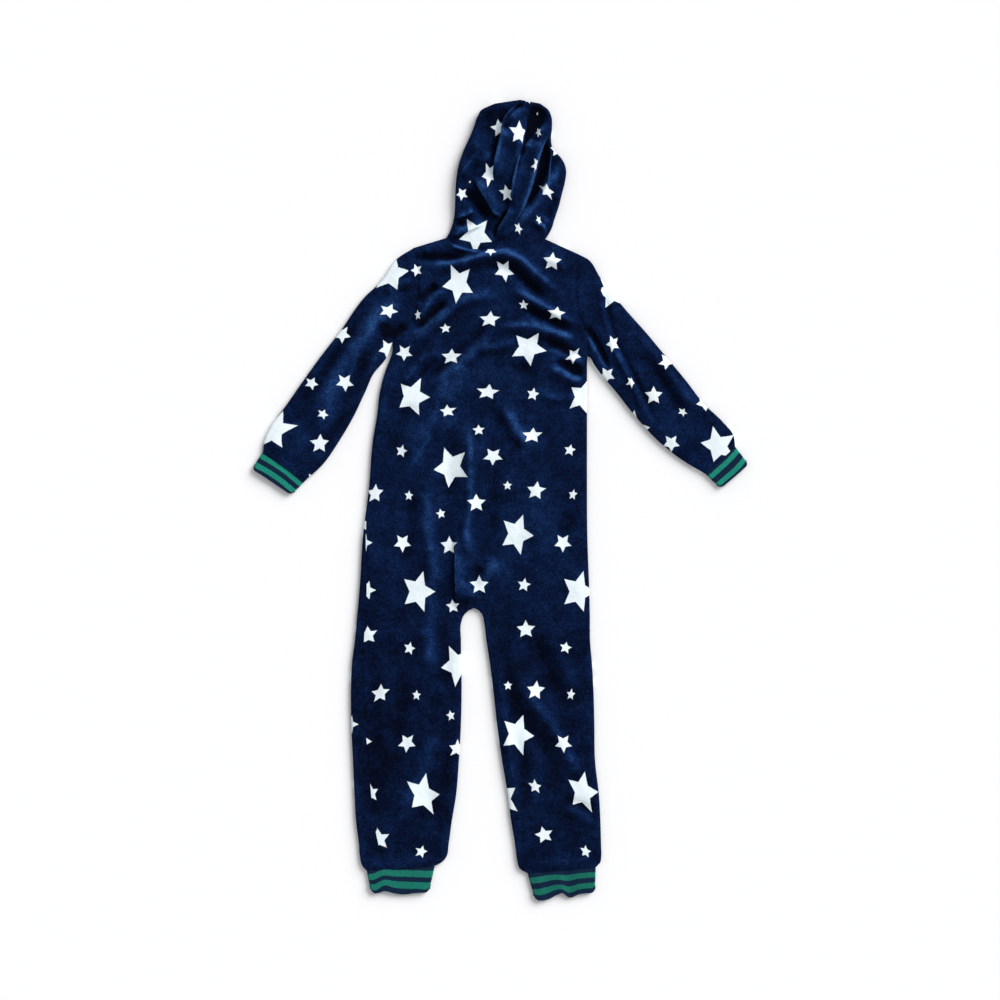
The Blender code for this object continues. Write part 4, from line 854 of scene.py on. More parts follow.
TUCK_END = 0.3          # share of the fold over which it ends

# Single stars where the print runs off evenly, and plain places: where in the print each is, and its reach.
PATCH_KINDS = {"big": (0, 0, 40), "leaning": (54, -111, 40), "medium": (161, -57, 22), "small": (90, -56, 16),
               "plain": (126, -24, 30)}
# Stars and plain places that hidden cloth brings beside each other: x, y, kind, turn, wide, tall.
BACK_PATCHES = (
    (-120, 289, "plain", 0, 0.4, 0.4), (-7, -236, "plain", 0, 0.9, 0.8), (28, -536, "plain", 0, 0.6, 0.6),
    (-66, -458, "plain", 0, 0.45, 0.45), (60, 380, "plain", 0, 1, 0.6), (106, 358, "plain", 0, 0.7, 0.6),
    (80, 289, "plain", 0, 0.7, 0.6), (-75, 363, "plain", 0, 0.4, 0.4), (64, -487, "plain", 0, 0.5, 0.5),
    (78, 357, "medium", -6, 1, 1), (-14, 373, "medium", 180, 0.62, 0.62),
    (-62.4, 324, "leaning", 2, 0.92, 0.95), (-125, 344, "medium", 20, 0.62, 0.7),
    (-123, 277, "small", 0, 0.55, 0.9),
    (84.4, 279, "medium", -8, 1, 0.74), (-200, -135, "medium", -90, 1, 1), (-205, -64, "medium", -90, 1, 1),
    (-217.5, -361.5, "big", 0, 1, 1), (-193, -439, "medium", 8, 0.8, 1),
    (-181.5, -508, "medium", 8, 1.2, 1.2), (2, -446, "big", 36, 1, 1), (66, -501.5, "medium", 14, 1, 0.9))
STRIP_PATCHES = ((-206, -36, "medium", 0, 0.8, 0.8), (-226, -336, "medium", -90, 1, 1))
SLEEVE_PATCHES = {
    -1: ((-167, 283, "medium", -24, 1.05, 0.8), (-168, 226, "medium", 30, 1, 1.1),
         (-125, 344, "medium", 20, 0.62, 0.7)),
    1: ((160, 218, "plain", 0, 0.7, 0.6), (169, 234, "medium", 24, 0.72, 0.95),
        (230, 156.5, "medium", 0, 0.98, 1), (160, 187, "medium", 30, 0.9, 0.9),
        (118, 354, "plain", 0, 0.4, 0.4))}
# A place without a star in both repeats, for the inside of the cloth.
INSIDE_PLACE = (366.0, 276.0)
# The lines in which the cloth of a sleeve or a hood half turns under, as two points in plan.
FOLD_LINES = {("sleeve", -1): ((-129, 378), (-374, 60)), ("sleeve", 1): ((118.5, 368), (374, 40)),
              ("hood", -1): ((-80, 393), (-44, 590)), ("hood", 1): ((68, 391), (66, 570))}


def patch_print(corners, places, patches):
    """Put single stars or plain places of the print on whole cells; corners are their places in plan."""
    centres = corners.mean(axis=1)
    for x, y, kind, turn, wide, tall in patches:
        across, down, reach = PATCH_KINDS[kind]
        away = (centres - (x, y)) / (wide, tall)
        near = np.linalg.norm(away, axis=1) < reach
        angle = math.radians(-turn)
        turned = np.array(((math.cos(angle), math.sin(angle)), (-math.sin(angle), math.cos(angle))))
        places[near] = (across, down) + (corners[near] - (x, y)) / (wide, tall) @ turned


def laid_print(place, slides=(), tucks=()):
    """A print placement on cloth that has slid, with some of it hidden east of its sharp folds."""
    def put(plan):
        moved = np.array(plan, float)
        for x, y, reach_x, reach_y, dx, dy in slides:
            near = np.exp(-((plan[:, 0] - x) / reach_x) ** 2 - ((plan[:, 1] - y) / reach_y) ** 2)
            moved -= np.outer(near, [dx, dy])
        for hidden, course in tucks:
            signed, along, _across = course_place(plan, course)
            moved[:, 0] += hidden * smoothstep((signed + TUCK_EDGE[0]) / TUCK_EDGE[1]) * smoothstep(
                (1 - along) / TUCK_END)
        return place(moved)
    return put


def straight_print(plan):
    """Place in the print, in mm across and up, with the grain along the centre line."""
    return plan - [-123.0, -137.25]


def plain_print(plan):
    """A plain place in the print, for every place in plan."""
    return np.full((len(plan), 2), PATCH_KINDS["plain"][:2], float)


def turned_print(anchor, star, down, squeeze):
    """A print placement that puts one star of the repeat at an anchor, with the grain turned."""
    down = np.array(down) / np.linalg.norm(down)
    across = np.array([-down[1], down[0]])

    def place(plan):
        away = plan - anchor
        return np.stack([star[0] + away @ across, -star[1] - squeeze * (away @ down)], axis=1)
    return place


BODY_PRINT = laid_print(straight_print, PRINT_SLIDES)
HOOD_PRINT = laid_print(lambda moved: moved, (), HOOD_TUCKS)
LEFT_SLEEVE_PRINT = laid_print(turned_print((-163.5, 337.5), (54, 111), (-0.583, -0.812), 1.041),
                               LEFT_SLEEVE_SLIDES)
RIGHT_SLEEVE_PRINT = laid_print(turned_print((163.5, 309.0), (148, 214), (0.604, -0.797), 1.076),
                                RIGHT_SLEEVE_SLIDES, SLEEVE_TUCKS)
LEFT_FRONT_PRINT = turned_print((-204.0, -36.0), (0, 0), (0.03, -1.0), 1.0)
RIGHT_FRONT_PRINT = turned_print((60.0, 140.0), (54, 111), (0.0, -1.0), 1.0)


# ---------------------------------------------------------------- shells of cloth

POINT_GRID = 200        # to the mm, on which points that lie together become one
INSIDE_LOWEST = 0.2     # least height of the inside of the cloth
SHARP_ANGLE = 60        # in degrees, above which an edge is shaded sharp


def link(name, mesh):
    """Put a mesh into the scene as an object at the origin."""
    made = bpy.data.objects.new(name, mesh)
    bpy.context.scene.collection.objects.link(made)
    return made


def rim_edges(faces):
    """Directed edges that only one face uses, with that face's number."""
    a = faces.ravel()
    b = np.roll(faces, -1, axis=1).ravel()
    owner = np.repeat(np.arange(len(faces)), faces.shape[1])
    real = a != b
    a, b, owner = a[real], b[real], owner[real]
    key = np.minimum(a, b).astype(np.int64) * (int(faces.max()) + 1) + np.maximum(a, b)
    _same, first, counts = np.unique(key, return_index=True, return_counts=True)
    lone = first[counts == 1]
    return a[lone], b[lone], owner[lone]


def vertex_normals(points, faces):
    """Directions out of the cloth at its points."""
    one = points[faces[:, 2]] - points[faces[:, 0]]
    two = points[faces[:, 3]] - points[faces[:, 1]]
    normal = np.cross(one, two)
    total = np.zeros_like(points)
    for k in range(4):
        np.add.at(total, faces[:, k], normal)
    return total / np.maximum(np.linalg.norm(total, axis=1, keepdims=True), 1e-12)


def shell(name, grids, skin, thickness=CLOTH, draw=SEAM_DRAW, through=False):
    """Make a closed thin shell from grids of outer points, each with its print places.

    The inside of the cloth is unprinted, unless its pattern goes through."""
    points, places, faces = [], [], []
    count = 0
    painted_shading_values = []
    for outer, painted_shading, place, upper, patches in grids:
        rows, columns = outer.shape[:2]
        ids = count + np.arange(rows * columns).reshape(rows, columns)
        quad = np.stack([ids[:-1, :-1], ids[:-1, 1:], ids[1:, 1:], ids[1:, :-1]], axis=2).reshape(-1, 4)
        faces.append(quad if upper else quad[:, ::-1])
        points.append(outer.reshape(-1, 3))
        told = place.reshape(-1, 2)[faces[-1] - count]
        patch_print(points[-1][faces[-1] - count, :2], told, patches)
        places.append(told)
        painted_shading_values.append(painted_shading.ravel())
        count += rows * columns
    points, places, faces = np.vstack(points), np.vstack(places), np.vstack(faces)
    painted_shading_values = np.concatenate(painted_shading_values)
    _keys, first, same = np.unique(np.round(points * POINT_GRID).astype(np.int64), axis=0, return_index=True,
                                   return_inverse=True)
    same = same.ravel()
    faces = same[faces]
    points, painted_shading_values = points[first], painted_shading_values[first]
    # A quad with two corners at one point becomes a triangle; one with fewer is dropped.
    kinds = np.array([len(set(face)) for face in faces.tolist()])
    faces, places = faces[kinds > 2], places[kinds > 2]
    normals = vertex_normals(points, faces)
    a, b, owner = rim_edges(faces)
    inward = np.zeros_like(points)
    along = points[b] - points[a]
    along /= np.maximum(np.linalg.norm(along, axis=1, keepdims=True), 1e-9)
    middle = points[faces[owner]].mean(axis=1) - points[a]
    across = middle - along * (middle * along).sum(axis=1, keepdims=True)
    across /= np.maximum(np.linalg.norm(across, axis=1, keepdims=True), 1e-9)
    np.add.at(inward, a, across)
    np.add.at(inward, b, across)
    length = np.linalg.norm(inward, axis=1, keepdims=True)
    points = points + np.where(length > 0, inward / np.maximum(length, 1e-9) * draw, 0)
    points[:, 2] = np.maximum(points[:, 2], 0)
    inner = points - thickness * normals
    inner[:, 2] = np.maximum(inner[:, 2], INSIDE_LOWEST)
    size = len(points)
    polygons, uv_rows = [], []
    for face, told in zip(faces.tolist(), places):
        keep = [k for k in range(4) if face[k] != face[k - 1]]
        polygons.append([face[k] for k in keep])
        uv_rows.extend(told[keep])
    outer_count = len(polygons)
    polygons += [[v + size for v in reversed(face)] for face in polygons]
    polygons += [[int(q), int(p), int(p) + size, int(q) + size] for p, q in zip(a, b)]
    mesh = bpy.data.meshes.new(name)
    mesh.from_pydata((np.vstack([points, inner]) * MM).tolist(), [], polygons)
    layer = mesh.uv_layers.new(name="print")
    uv = np.zeros((len(mesh.loops), 2))
    uv[:len(uv_rows)] = np.array(uv_rows) * MM
    if through:
        vertex_uv = np.zeros((2 * size, 2))
        outer_loops = np.array([v for face in polygons[:outer_count] for v in face])
        vertex_uv[outer_loops] = uv[:len(uv_rows)]
        vertex_uv[size:] = vertex_uv[:size]
        rest = np.array([v for face in polygons[outer_count:] for v in face])
        uv[len(uv_rows):] = vertex_uv[rest]
    else:
        uv[len(uv_rows):] = np.array(INSIDE_PLACE) * MM
    layer.data.foreach_set("uv", uv.ravel())
    # Painted light and shade of the cloth, which its material turns into colour.
    lay = mesh.attributes.new("painted_shading", "FLOAT", "POINT")
    lay.data.foreach_set("value", np.clip(np.concatenate((painted_shading_values, painted_shading_values)), -1, 1))
    mesh.shade_smooth()
    mesh.set_sharp_from_angle(angle=math.radians(SHARP_ANGLE))
    mesh.materials.append(skin)
    mesh.validate()
    return link(name, mesh)


def mirrored(plan, line):
    """Places in plan, mirrored in a straight line between two points."""
    start, along = np.array(line[0], float), np.subtract(line[1], line[0])
    away = plan - start
    return start + 2 * np.outer(away @ along, along) / (along @ along) - away


def layer_grid(plan, upper, place, fold=None, patches=()):
    """One grid of a shell: its lifted points, its print places and its patches of the print."""
    plan = np.asarray(plan, float)
    flat = plan.reshape(-1, 2)
    outer, painted_shading = lift(flat, upper, OUTLINE)
    told = flat if fold is None else mirrored(flat, fold)
    shape = plan.shape[:2]
    return outer.reshape(*shape, 3), painted_shading.reshape(shape), place(told).reshape(*shape, 2), upper, patches


def make_back(skin):
    """The back, one panel with both leg backs."""
    halves = [body_half(-1, False, CELL), body_half(1, False, CELL)[:, ::-1]]
    grids = [layer_grid(plan, True, BODY_PRINT, patches=BACK_PATCHES) for plan in halves]
    return shell("back_cloth", grids, skin)


def make_front(name, side, place, skin):
    """One front with its leg; the left one shows where it has rolled on to the top."""
    plan = body_half(side, True, COARSE)
    grids = [layer_grid(plan if side < 0 else plan[:, ::-1], False, place)]
    if side < 0:
        grids.append(layer_grid(side_strip(COARSE), True, plain_print, patches=STRIP_PATCHES))
    return shell(name, grids, skin)


def make_sleeve(name, side, place, skin):
    """A sleeve, a flattened tube."""
    plan = sleeve_plan(side, CELL)[:, ::side]
    upper = layer_grid(plan, True, place, patches=SLEEVE_PATCHES[side])
    return shell(name, [upper, layer_grid(plan, False, place, fold=FOLD_LINES["sleeve", side])], skin)


def make_hood_half(name, side, skin):
    """Half of the hood, over its turned edge to the face opening below."""
    grids = [layer_grid(hood_plan(side, False, HOOD_CELL)[:, ::-side], True, HOOD_PRINT),
             layer_grid(hood_plan(side, True, HOOD_CELL)[:, ::-side], False, HOOD_PRINT,
                        fold=FOLD_LINES["hood", side])]
    return shell(name, grids, skin)


# ---------------------------------------------------------------- cuffs

# By share of each cuff's width: how far its hem rises, how its surface swells, how far its stripes sink.
CUFF_WAVES = {
    "wrist_cuff_left": table(
        "share rise puff sink", (0, 0, 0, 2.4), (0.3, 0.5, 0.6, 0.4), (0.62, 0.2, -0.2, 0), (1, 0, 0, 2.6)),
    "wrist_cuff_right": table(
        "share rise puff sink", (0, -1, 0, -1.8), (0.35, -1.4, 0.5, 0), (0.7, -1.2, -0.2, 0.2),
        (1, -1, 0, 0)),
    "ankle_cuff_left": table(
        "share rise puff sink", (0, 0.4, 0, 3.6), (0.08, -1.2, 0.3, 3), (0.25, 2.2, 0.6, -2.6),
        (0.4, -1.2, -0.3, -1), (0.57, -2.9, -0.6, 0), (0.75, -0.9, 0.4, 1.5), (1, 0.2, 0, 3.4)),
    "ankle_cuff_right": table(
        "share rise puff sink", (0, 0.4, 0, 0), (0.26, 1.1, 0.5, 0), (0.45, -1.4, -0.9, 1),
        (0.53, 5.6, 0.9, 0), (0.6, 5.0, 0.5, -1), (0.76, -0.4, -0.6, -0.6), (0.86, -1.7, 0.4, 0),
        (1, 0, 0, 0.6))}
KNIT = 1.5              # one layer of rib knit
KNIT_DRAW = 0.05        # how far its rims are drawn in
KNIT_CELL = 0.62        # grid pitch across a cuff, fine enough for its ribs
KNIT_ROWS = 15
CUFF_CORNER = 6.5       # radius of a cuff's corners
RIB_PITCH = 2.6
RIB_HEIGHT = 0.42


def make_cuff(name, skin):
    """A rib cuff: a flattened tube from its seam to its hem, with the knit's ribs grown on it."""
    seam_out, seam_in, hem_out, hem_in = [np.array(p) for p in CUFFS[name]]
    outline = Outline([np.array([hem_out, seam_out]), np.array([seam_in, hem_in])])
    fall = mix(hem_out, hem_in, 0.5) - mix(seam_out, seam_in, 0.5)
    depth = np.linalg.norm(fall)
    down = fall / depth
    waves = CUFF_WAVES[name]
    columns = int(np.linalg.norm(seam_in - seam_out) / KNIT_CELL)
    plan, place = [], []
    for along in np.linspace(CUFF_CLEAR / depth, 1, KNIT_ROWS):
        outer = mix(seam_out, hem_out, along)
        inner = mix(seam_in, hem_in, along)
        width = np.linalg.norm(inner - outer)
        share = spread(width, 1, 1, columns, CUFF_ROLL) / width
        from_side = np.minimum(share, 1 - share) * width / CUFF_CORNER
        corner = CUFF_CORNER * (1 - np.sqrt(1 - np.maximum(1 - from_side, 0) ** 2))
        rise = curve(waves, "rise", "share", share) * along ** 2 + corner * along ** 3.5
        plan.append(outer + np.outer(share, inner - outer) - np.outer(rise, down))
        sink = curve(waves, "sink", "share", share)
        place.append(np.stack([share * width, sink - along * depth], axis=1))
    plan, place = np.array(plan), np.array(place)
    flat = plan.reshape(-1, 2)
    upper, lower = (lift(flat, layer, outline, CUFF_ROLL, CUFF_LAID)[0].reshape(*plan.shape[:2], 3)
                    for layer in (True, False))
    share = place[:, :, 0] / place[:, -1:, 0]
    puff = curve(waves, "puff", "share", share) + 0.5 * ripple(flat, 16, 2.0).reshape(share.shape)
    upper[:, :, 2] += puff * smoothstep(np.minimum(share, 1 - share) / 0.12)
    level = np.zeros(share.shape)
    order = -1 if seam_in[0] > seam_out[0] else 1
    grids = [(upper[:, ::order], level, place[:, ::order], True, ()),
             (lower[:, ::order], level, (place * [-1, 1])[:, ::order], False, ())]
    made = shell(name + "_knit", grids, skin, KNIT, KNIT_DRAW, through=True)
    return grow(made, rib_tree(skin), {"Rib pitch": RIB_PITCH * MM, "Rib height": RIB_HEIGHT * MM})


# ---------------------------------------------------------------- node helpers

MATH = "ShaderNodeMath"
VECTOR_MATH = "ShaderNodeVectorMath"
XYZ = "ShaderNodeCombineXYZ"
MIX = "ShaderNodeMix"
COLOURS = {"data_type": "RGBA"}
EASED = {"interpolation_type": "SMOOTHSTEP"}


def hex_colour(code):
    """An sRGB hex colour as linear numbers, with full cover."""
    parts = [int(code[k:k + 2], 16) / 255 for k in (1, 3, 5)]
    return (*(p / 12.92 if p <= 0.04045 else ((p + 0.055) / 1.055) ** 2.4 for p in parts), 1)


def set_inputs(tree, made, *values, **named):
    """Set or link a node's inputs, in order or by name; a node given as a value lends its first output."""
    named = {key.replace("_", " "): value for key, value in named.items()}
    for key, value in [*enumerate(values), *named.items()]:
        if isinstance(value, bpy.types.Node):
            value = next(socket for socket in value.outputs if socket.enabled)
        if isinstance(value, bpy.types.NodeSocket):
            tree.links.new(value, made.inputs[key])
        elif isinstance(value, str) and value[0] == "#":
            made.inputs[key].default_value = hex_colour(value)
        else:
            made.inputs[key].default_value = value


def add_node(tree, kind, settings=(), *values, **named):
    """Add a node with its settings, where a bare word is its operation, and with its inputs."""
    made = tree.nodes.new(kind)
    settings = {"operation": settings} if isinstance(settings, str) else dict(settings)
    for key, value in settings.items():
        setattr(made, key, value)
    set_inputs(tree, made, *values, **named)
    return made


def grow(piece, tree, values):
    """Run a Geometry Nodes tree on a piece and keep its result as a plain mesh."""
    modifier = piece.modifiers.new("grow", "NODES")
    modifier.node_group = tree
    for item in tree.interface.items_tree:
        if item.item_type == "SOCKET" and item.in_out == "INPUT" and item.name in values:
            modifier[item.identifier] = values[item.name]
    evaluated = piece.evaluated_get(bpy.context.evaluated_depsgraph_get())
    mesh = bpy.data.meshes.new_from_object(evaluated)
    mesh.name = piece.name
    piece.modifiers.remove(modifier)
    old = piece.data
    piece.data = mesh
    bpy.data.meshes.remove(old)
    return piece


def geometry_tree(name, *sizes):
    """An empty Geometry Nodes tree with a named input for each of its sizes."""
    tree = bpy.data.node_groups.new(name, "GeometryNodeTree")
    tree.interface.new_socket("Geometry", in_out="INPUT", socket_type="NodeSocketGeometry")
    for title in sizes:
        tree.interface.new_socket(title, in_out="INPUT", socket_type="NodeSocketFloat")
    tree.interface.new_socket("Geometry", in_out="OUTPUT", socket_type="NodeSocketGeometry")
    return tree, tree.nodes.new("NodeGroupInput"), tree.nodes.new("NodeGroupOutput")


def end_tree(tree, result, geometry, skin):
    """Close a tree with Realize Instances and Set Material."""
    whole = add_node(tree, "GeometryNodeRealizeInstances", (), geometry)
    set_inputs(tree, result, add_node(tree, "GeometryNodeSetMaterial", (), whole, Material=skin))


def rib_tree(skin):
    """Ribs of the knit: rounded ridges along the cuff's depth, spaced by its print's across."""
    tree, start, result = geometry_tree("knit ribs", "Rib pitch", "Rib height")
    place = add_node(tree, "GeometryNodeInputNamedAttribute", {"data_type": "FLOAT_VECTOR"}, "print")
    across = add_node(tree, "ShaderNodeSeparateXYZ", (), place)
    turns = add_node(tree, MATH, "DIVIDE", across, start.outputs["Rib pitch"])
    wave = add_node(tree, MATH, "PINGPONG", turns, 0.5)
    round_top = add_node(tree, MATH, "POWER", add_node(tree, MATH, "MULTIPLY", wave, 2.0), 0.6)
    height = add_node(tree, MATH, "MULTIPLY", round_top, start.outputs["Rib height"])
    normal = add_node(tree, "GeometryNodeInputNormal")
    offset = add_node(tree, VECTOR_MATH, "SCALE", normal, Scale=height)
    moved = add_node(tree, "GeometryNodeSetPosition", (), start, Offset=offset)
    end_tree(tree, result, moved, skin)
    return tree


def stitch_tree(skin):
    """Stitches: short rounded threads laid end to end along a line."""
    tree, start, result = geometry_tree("stitches", "Pitch", "Length", "Thread")
    line = add_node(tree, "GeometryNodeMeshToCurve", (), start)
    pitch = start.outputs["Pitch"]
    dots = add_node(tree, "GeometryNodeResampleCurve", {"mode": "LENGTH"}, line, Length=pitch)
    along = add_node(tree, "GeometryNodeInputTangent")
    turn = add_node(tree, "FunctionNodeAlignRotationToVector", {"axis": "X"}, Vector=along)
    thread = add_node(tree, "GeometryNodeMeshUVSphere", (), Segments=6, Rings=5, Radius=0.5)
    thick = start.outputs["Thread"]
    size = add_node(tree, XYZ, (), start.outputs["Length"], thick, thick)
    put = add_node(tree, "GeometryNodeInstanceOnPoints", (), dots, Instance=thread, Rotation=turn, Scale=size)
    end_tree(tree, result, put, skin)
    return tree


def coil_tree(skin):
    """Zip coil: two rows of rounded loops across the chain, half a pitch apart."""
    tree, start, result = geometry_tree("zip coil", "Pitch", "Half width", "Wire")
    pitch, half, wire = (start.outputs[title] for title in ("Pitch", "Half width", "Wire"))
    line = add_node(tree, "GeometryNodeMeshToCurve", (), start)
    dots = add_node(tree, "GeometryNodeResampleCurve", {"mode": "LENGTH"}, line, Length=pitch)
    along = add_node(tree, "GeometryNodeInputTangent")
    turn = add_node(tree, "FunctionNodeAlignRotationToVector", {"axis": "Y"}, Vector=along)
    loop = add_node(tree, "GeometryNodeMeshUVSphere", (), Segments=8, Rings=5, Radius=0.5)
    size = add_node(tree, XYZ, (), add_node(tree, MATH, "MULTIPLY", half, 1.15), wire,
                    add_node(tree, MATH, "MULTIPLY", wire, 1.6))
    put = add_node(tree, "GeometryNodeInstanceOnPoints", (), dots, Instance=loop, Rotation=turn, Scale=size)
    joined = add_node(tree, "GeometryNodeJoinGeometry")
    for side in (-1, 1):
        aside = add_node(tree, XYZ, (), add_node(tree, MATH, "MULTIPLY", half, 0.46 * side),
                         add_node(tree, MATH, "MULTIPLY", pitch, 0.25 * side))
        moved = add_node(tree, "GeometryNodeTransform", (), put, Translation=aside)
        tree.links.new(moved.outputs[0], joined.inputs[0])
    end_tree(tree, result, joined, skin)
    return tree


# ---------------------------------------------------------------- materials

# Navy from painted shade in a trough to a painted highlight on a crest: place on the ramp, colour.
NAVY_RAMP = ((0.0, "#01030C"), (0.2, "#020A22"), (0.4, "#041332"), (0.7, "#0D2752"), (1.0, "#2A4F84"))
NAVY_GLINT = "#3A5290"
STAR_SHADE = "#D5E4EC"
STAR_WHITE = "#F2FAFC"
STAR_WAIST = 0.5        # inner corners of a star, as a share of its radius
STRIPE_BLUR = 0.3       # half of the width over which a knitted stripe begins
WAVE_TURN = 6.28        # a Wave texture's own factor from its scale to its crests


def new_material(name):
    """A material with its tree and its Principled shader."""
    made = bpy.data.materials.new(name)
    made.use_nodes = True
    return made, made.node_tree, made.node_tree.nodes["Principled BSDF"]


def noise_share(tree, place, size_mm, detail, low=0.3, high=0.7):
    """Noise with blotches of a real size, stretched from 0 to 1 between two of its levels."""
    cloud = add_node(tree, "ShaderNodeTexNoise", (), Vector=place, Scale=1000 / size_mm, Detail=detail)
    return add_node(tree, "ShaderNodeMapRange", EASED, cloud, low, high)


def star_group():
    """Distance to the edge of one five-pointed star in a repeat, negative inside it."""
    tree = bpy.data.node_groups.new("printed star", "ShaderNodeTree")
    for title, kind in (("Place", "Vector"), ("Centre", "Vector"), ("Half tile", "Vector"),
                        ("Radius", "Float"), ("Turn", "Float"), ("Narrow", "Vector")):
        tree.interface.new_socket(title, in_out="INPUT", socket_type="NodeSocket" + kind)
    tree.interface.new_socket("Distance", in_out="OUTPUT", socket_type="NodeSocketFloat")
    start, result = tree.nodes.new("NodeGroupInput"), tree.nodes.new("NodeGroupOutput")
    half = start.outputs["Half tile"]
    away = add_node(tree, VECTOR_MATH, "SUBTRACT", start.outputs["Place"], start.outputs["Centre"])
    minus = add_node(tree, VECTOR_MATH, "SCALE", half, Scale=-1.0)
    near = add_node(tree, VECTOR_MATH, "WRAP", away, half, minus)
    near = add_node(tree, VECTOR_MATH, "DIVIDE", near, start.outputs["Narrow"])
    axes = add_node(tree, "ShaderNodeSeparateXYZ", (), near)
    angle = add_node(tree, MATH, "ARCTAN2", axes.outputs[1], axes.outputs[0])
    turned = add_node(tree, MATH, "SUBTRACT", angle, start.outputs["Turn"])
    folded = add_node(tree, MATH, "PINGPONG", turned, math.pi / 5)
    # The edge from a tip to an inner corner at STAR_WAIST of the radius.
    waist = (STAR_WAIST * math.cos(math.pi / 5), STAR_WAIST * math.sin(math.pi / 5))
    lean = math.atan2(1 - waist[0], waist[1])
    length = add_node(tree, VECTOR_MATH, "LENGTH", near).outputs["Value"]
    reach = add_node(tree, MATH, "COSINE", add_node(tree, MATH, "SUBTRACT", folded, lean))
    edge = add_node(tree, MATH, "MULTIPLY", start.outputs["Radius"], math.cos(lean))
    distance = add_node(tree, MATH, "SUBTRACT", add_node(tree, MATH, "MULTIPLY", length, reach), edge)
    set_inputs(tree, result, distance)
    return tree


def star_distance(tree, place, stars, tile, group):
    """Distance to the nearest of the print's stars, some of them narrowed by the slope they lie on."""
    nearest = None
    for across, up, radius, turn, narrow in stars:
        star = add_node(tree, "ShaderNodeGroup", {"node_tree": group}, Place=place,
                        Centre=(across * MM, up * MM, 0), Half_tile=(tile[0] * MM / 2, tile[1] * MM / 2, 1),
                        Radius=radius * MM, Turn=math.radians(turn), Narrow=(narrow, 1, 1))
        nearest = star if nearest is None else add_node(tree, MATH, "MINIMUM", nearest, star)
    return nearest


def make_fleece(name, stars, tile, group):
    """Brushed polyester fleece with a printed pile: soft sheen, painted highlights on crests, painted shade
    in troughs.
    """
    skin, tree, shader = new_material(name)
    ground = add_node(tree, "ShaderNodeTexCoord").outputs["Object"]
    place = add_node(tree, "ShaderNodeUVMap", {"uv_map": "print"})
    # Pile tufts are about 0.5 mm; they are drawn at 2.2 mm, the finest that shows.
    tufts = noise_share(tree, ground, 2.2, 2.0)
    mottle = noise_share(tree, ground, 8.0, 2.0)
    drift = noise_share(tree, ground, 30.0, 3.0)
    # Painted highlight on a crest and painted shade in a trough, with random tone from the tufts, mottle and
    # drift.
    painted_shading = add_node(tree, "ShaderNodeAttribute", {"attribute_name": "painted_shading"}).outputs["Fac"]
    shade_and_tone = add_node(tree, MATH, "ADD", add_node(tree, MATH, "MULTIPLY", painted_shading, 0.5), 0.38)
    for share, part in ((0.26, tufts), (0.12, mottle), (0.20, drift)):
        part = add_node(tree, MATH, "MULTIPLY", add_node(tree, MATH, "SUBTRACT", part, 0.5), share)
        shade_and_tone = add_node(tree, MATH, "ADD", shade_and_tone, part)
    navy = add_node(tree, "ShaderNodeValToRGB", (), shade_and_tone)
    ramp = navy.color_ramp
    ramp.interpolation = "B_SPLINE"
    for at, _paint in NAVY_RAMP[1:-1]:
        ramp.elements.new(at)
    for stop, (at, paint) in zip(ramp.elements, NAVY_RAMP):
        stop.position = at
        stop.color = hex_colour(paint)
    # Fibre ends that catch the light: a few cells of a 1.1 mm scatter.
    cells = add_node(tree, "ShaderNodeTexVoronoi", (), Vector=ground, Scale=1000 / 1.1)
    bright = add_node(tree, "ShaderNodeSeparateColor", (), cells.outputs["Color"])
    chosen = add_node(tree, MATH, "MULTIPLY", add_node(tree, MATH, "GREATER_THAN", bright, 0.972), 0.12)
    navy = add_node(tree, MIX, COLOURS, chosen, A=navy, B=NAVY_GLINT)
    # The stars' white carries the painted shade and highlight too, more weakly, with the random tone.
    light = add_node(tree, MATH, "MULTIPLY_ADD", shade_and_tone, 0.4, 0.45)
    white = add_node(tree, MIX, COLOURS, light, A=STAR_SHADE, B=STAR_WHITE)
    # The edge of a star follows the tufts, and blurs over 1 mm.
    fuzz = add_node(tree, MATH, "MULTIPLY", add_node(tree, MATH, "SUBTRACT", tufts, 0.5), 0.45 * MM)
    away = add_node(tree, MATH, "ADD", star_distance(tree, place, stars, tile, group), fuzz)
    inside = add_node(tree, "ShaderNodeMapRange", EASED, away, 0.5 * MM, -0.5 * MM)
    rough = add_node(tree, MATH, "ADD", add_node(tree, MATH, "MULTIPLY", tufts, 0.5),
                     add_node(tree, MATH, "MULTIPLY", mottle, 0.7))
    bump = add_node(tree, "ShaderNodeBump", (), Strength=0.3, Distance=0.9 * MM, Height=rough)
    set_inputs(tree, shader, Base_Color=add_node(tree, MIX, COLOURS, inside, A=navy, B=white), Roughness=1.0,
               Specular_IOR_Level=0.06, Sheen_Weight=0.16, Sheen_Roughness=0.35, Sheen_Tint="#5C83DC",
               Normal=bump)
    return skin


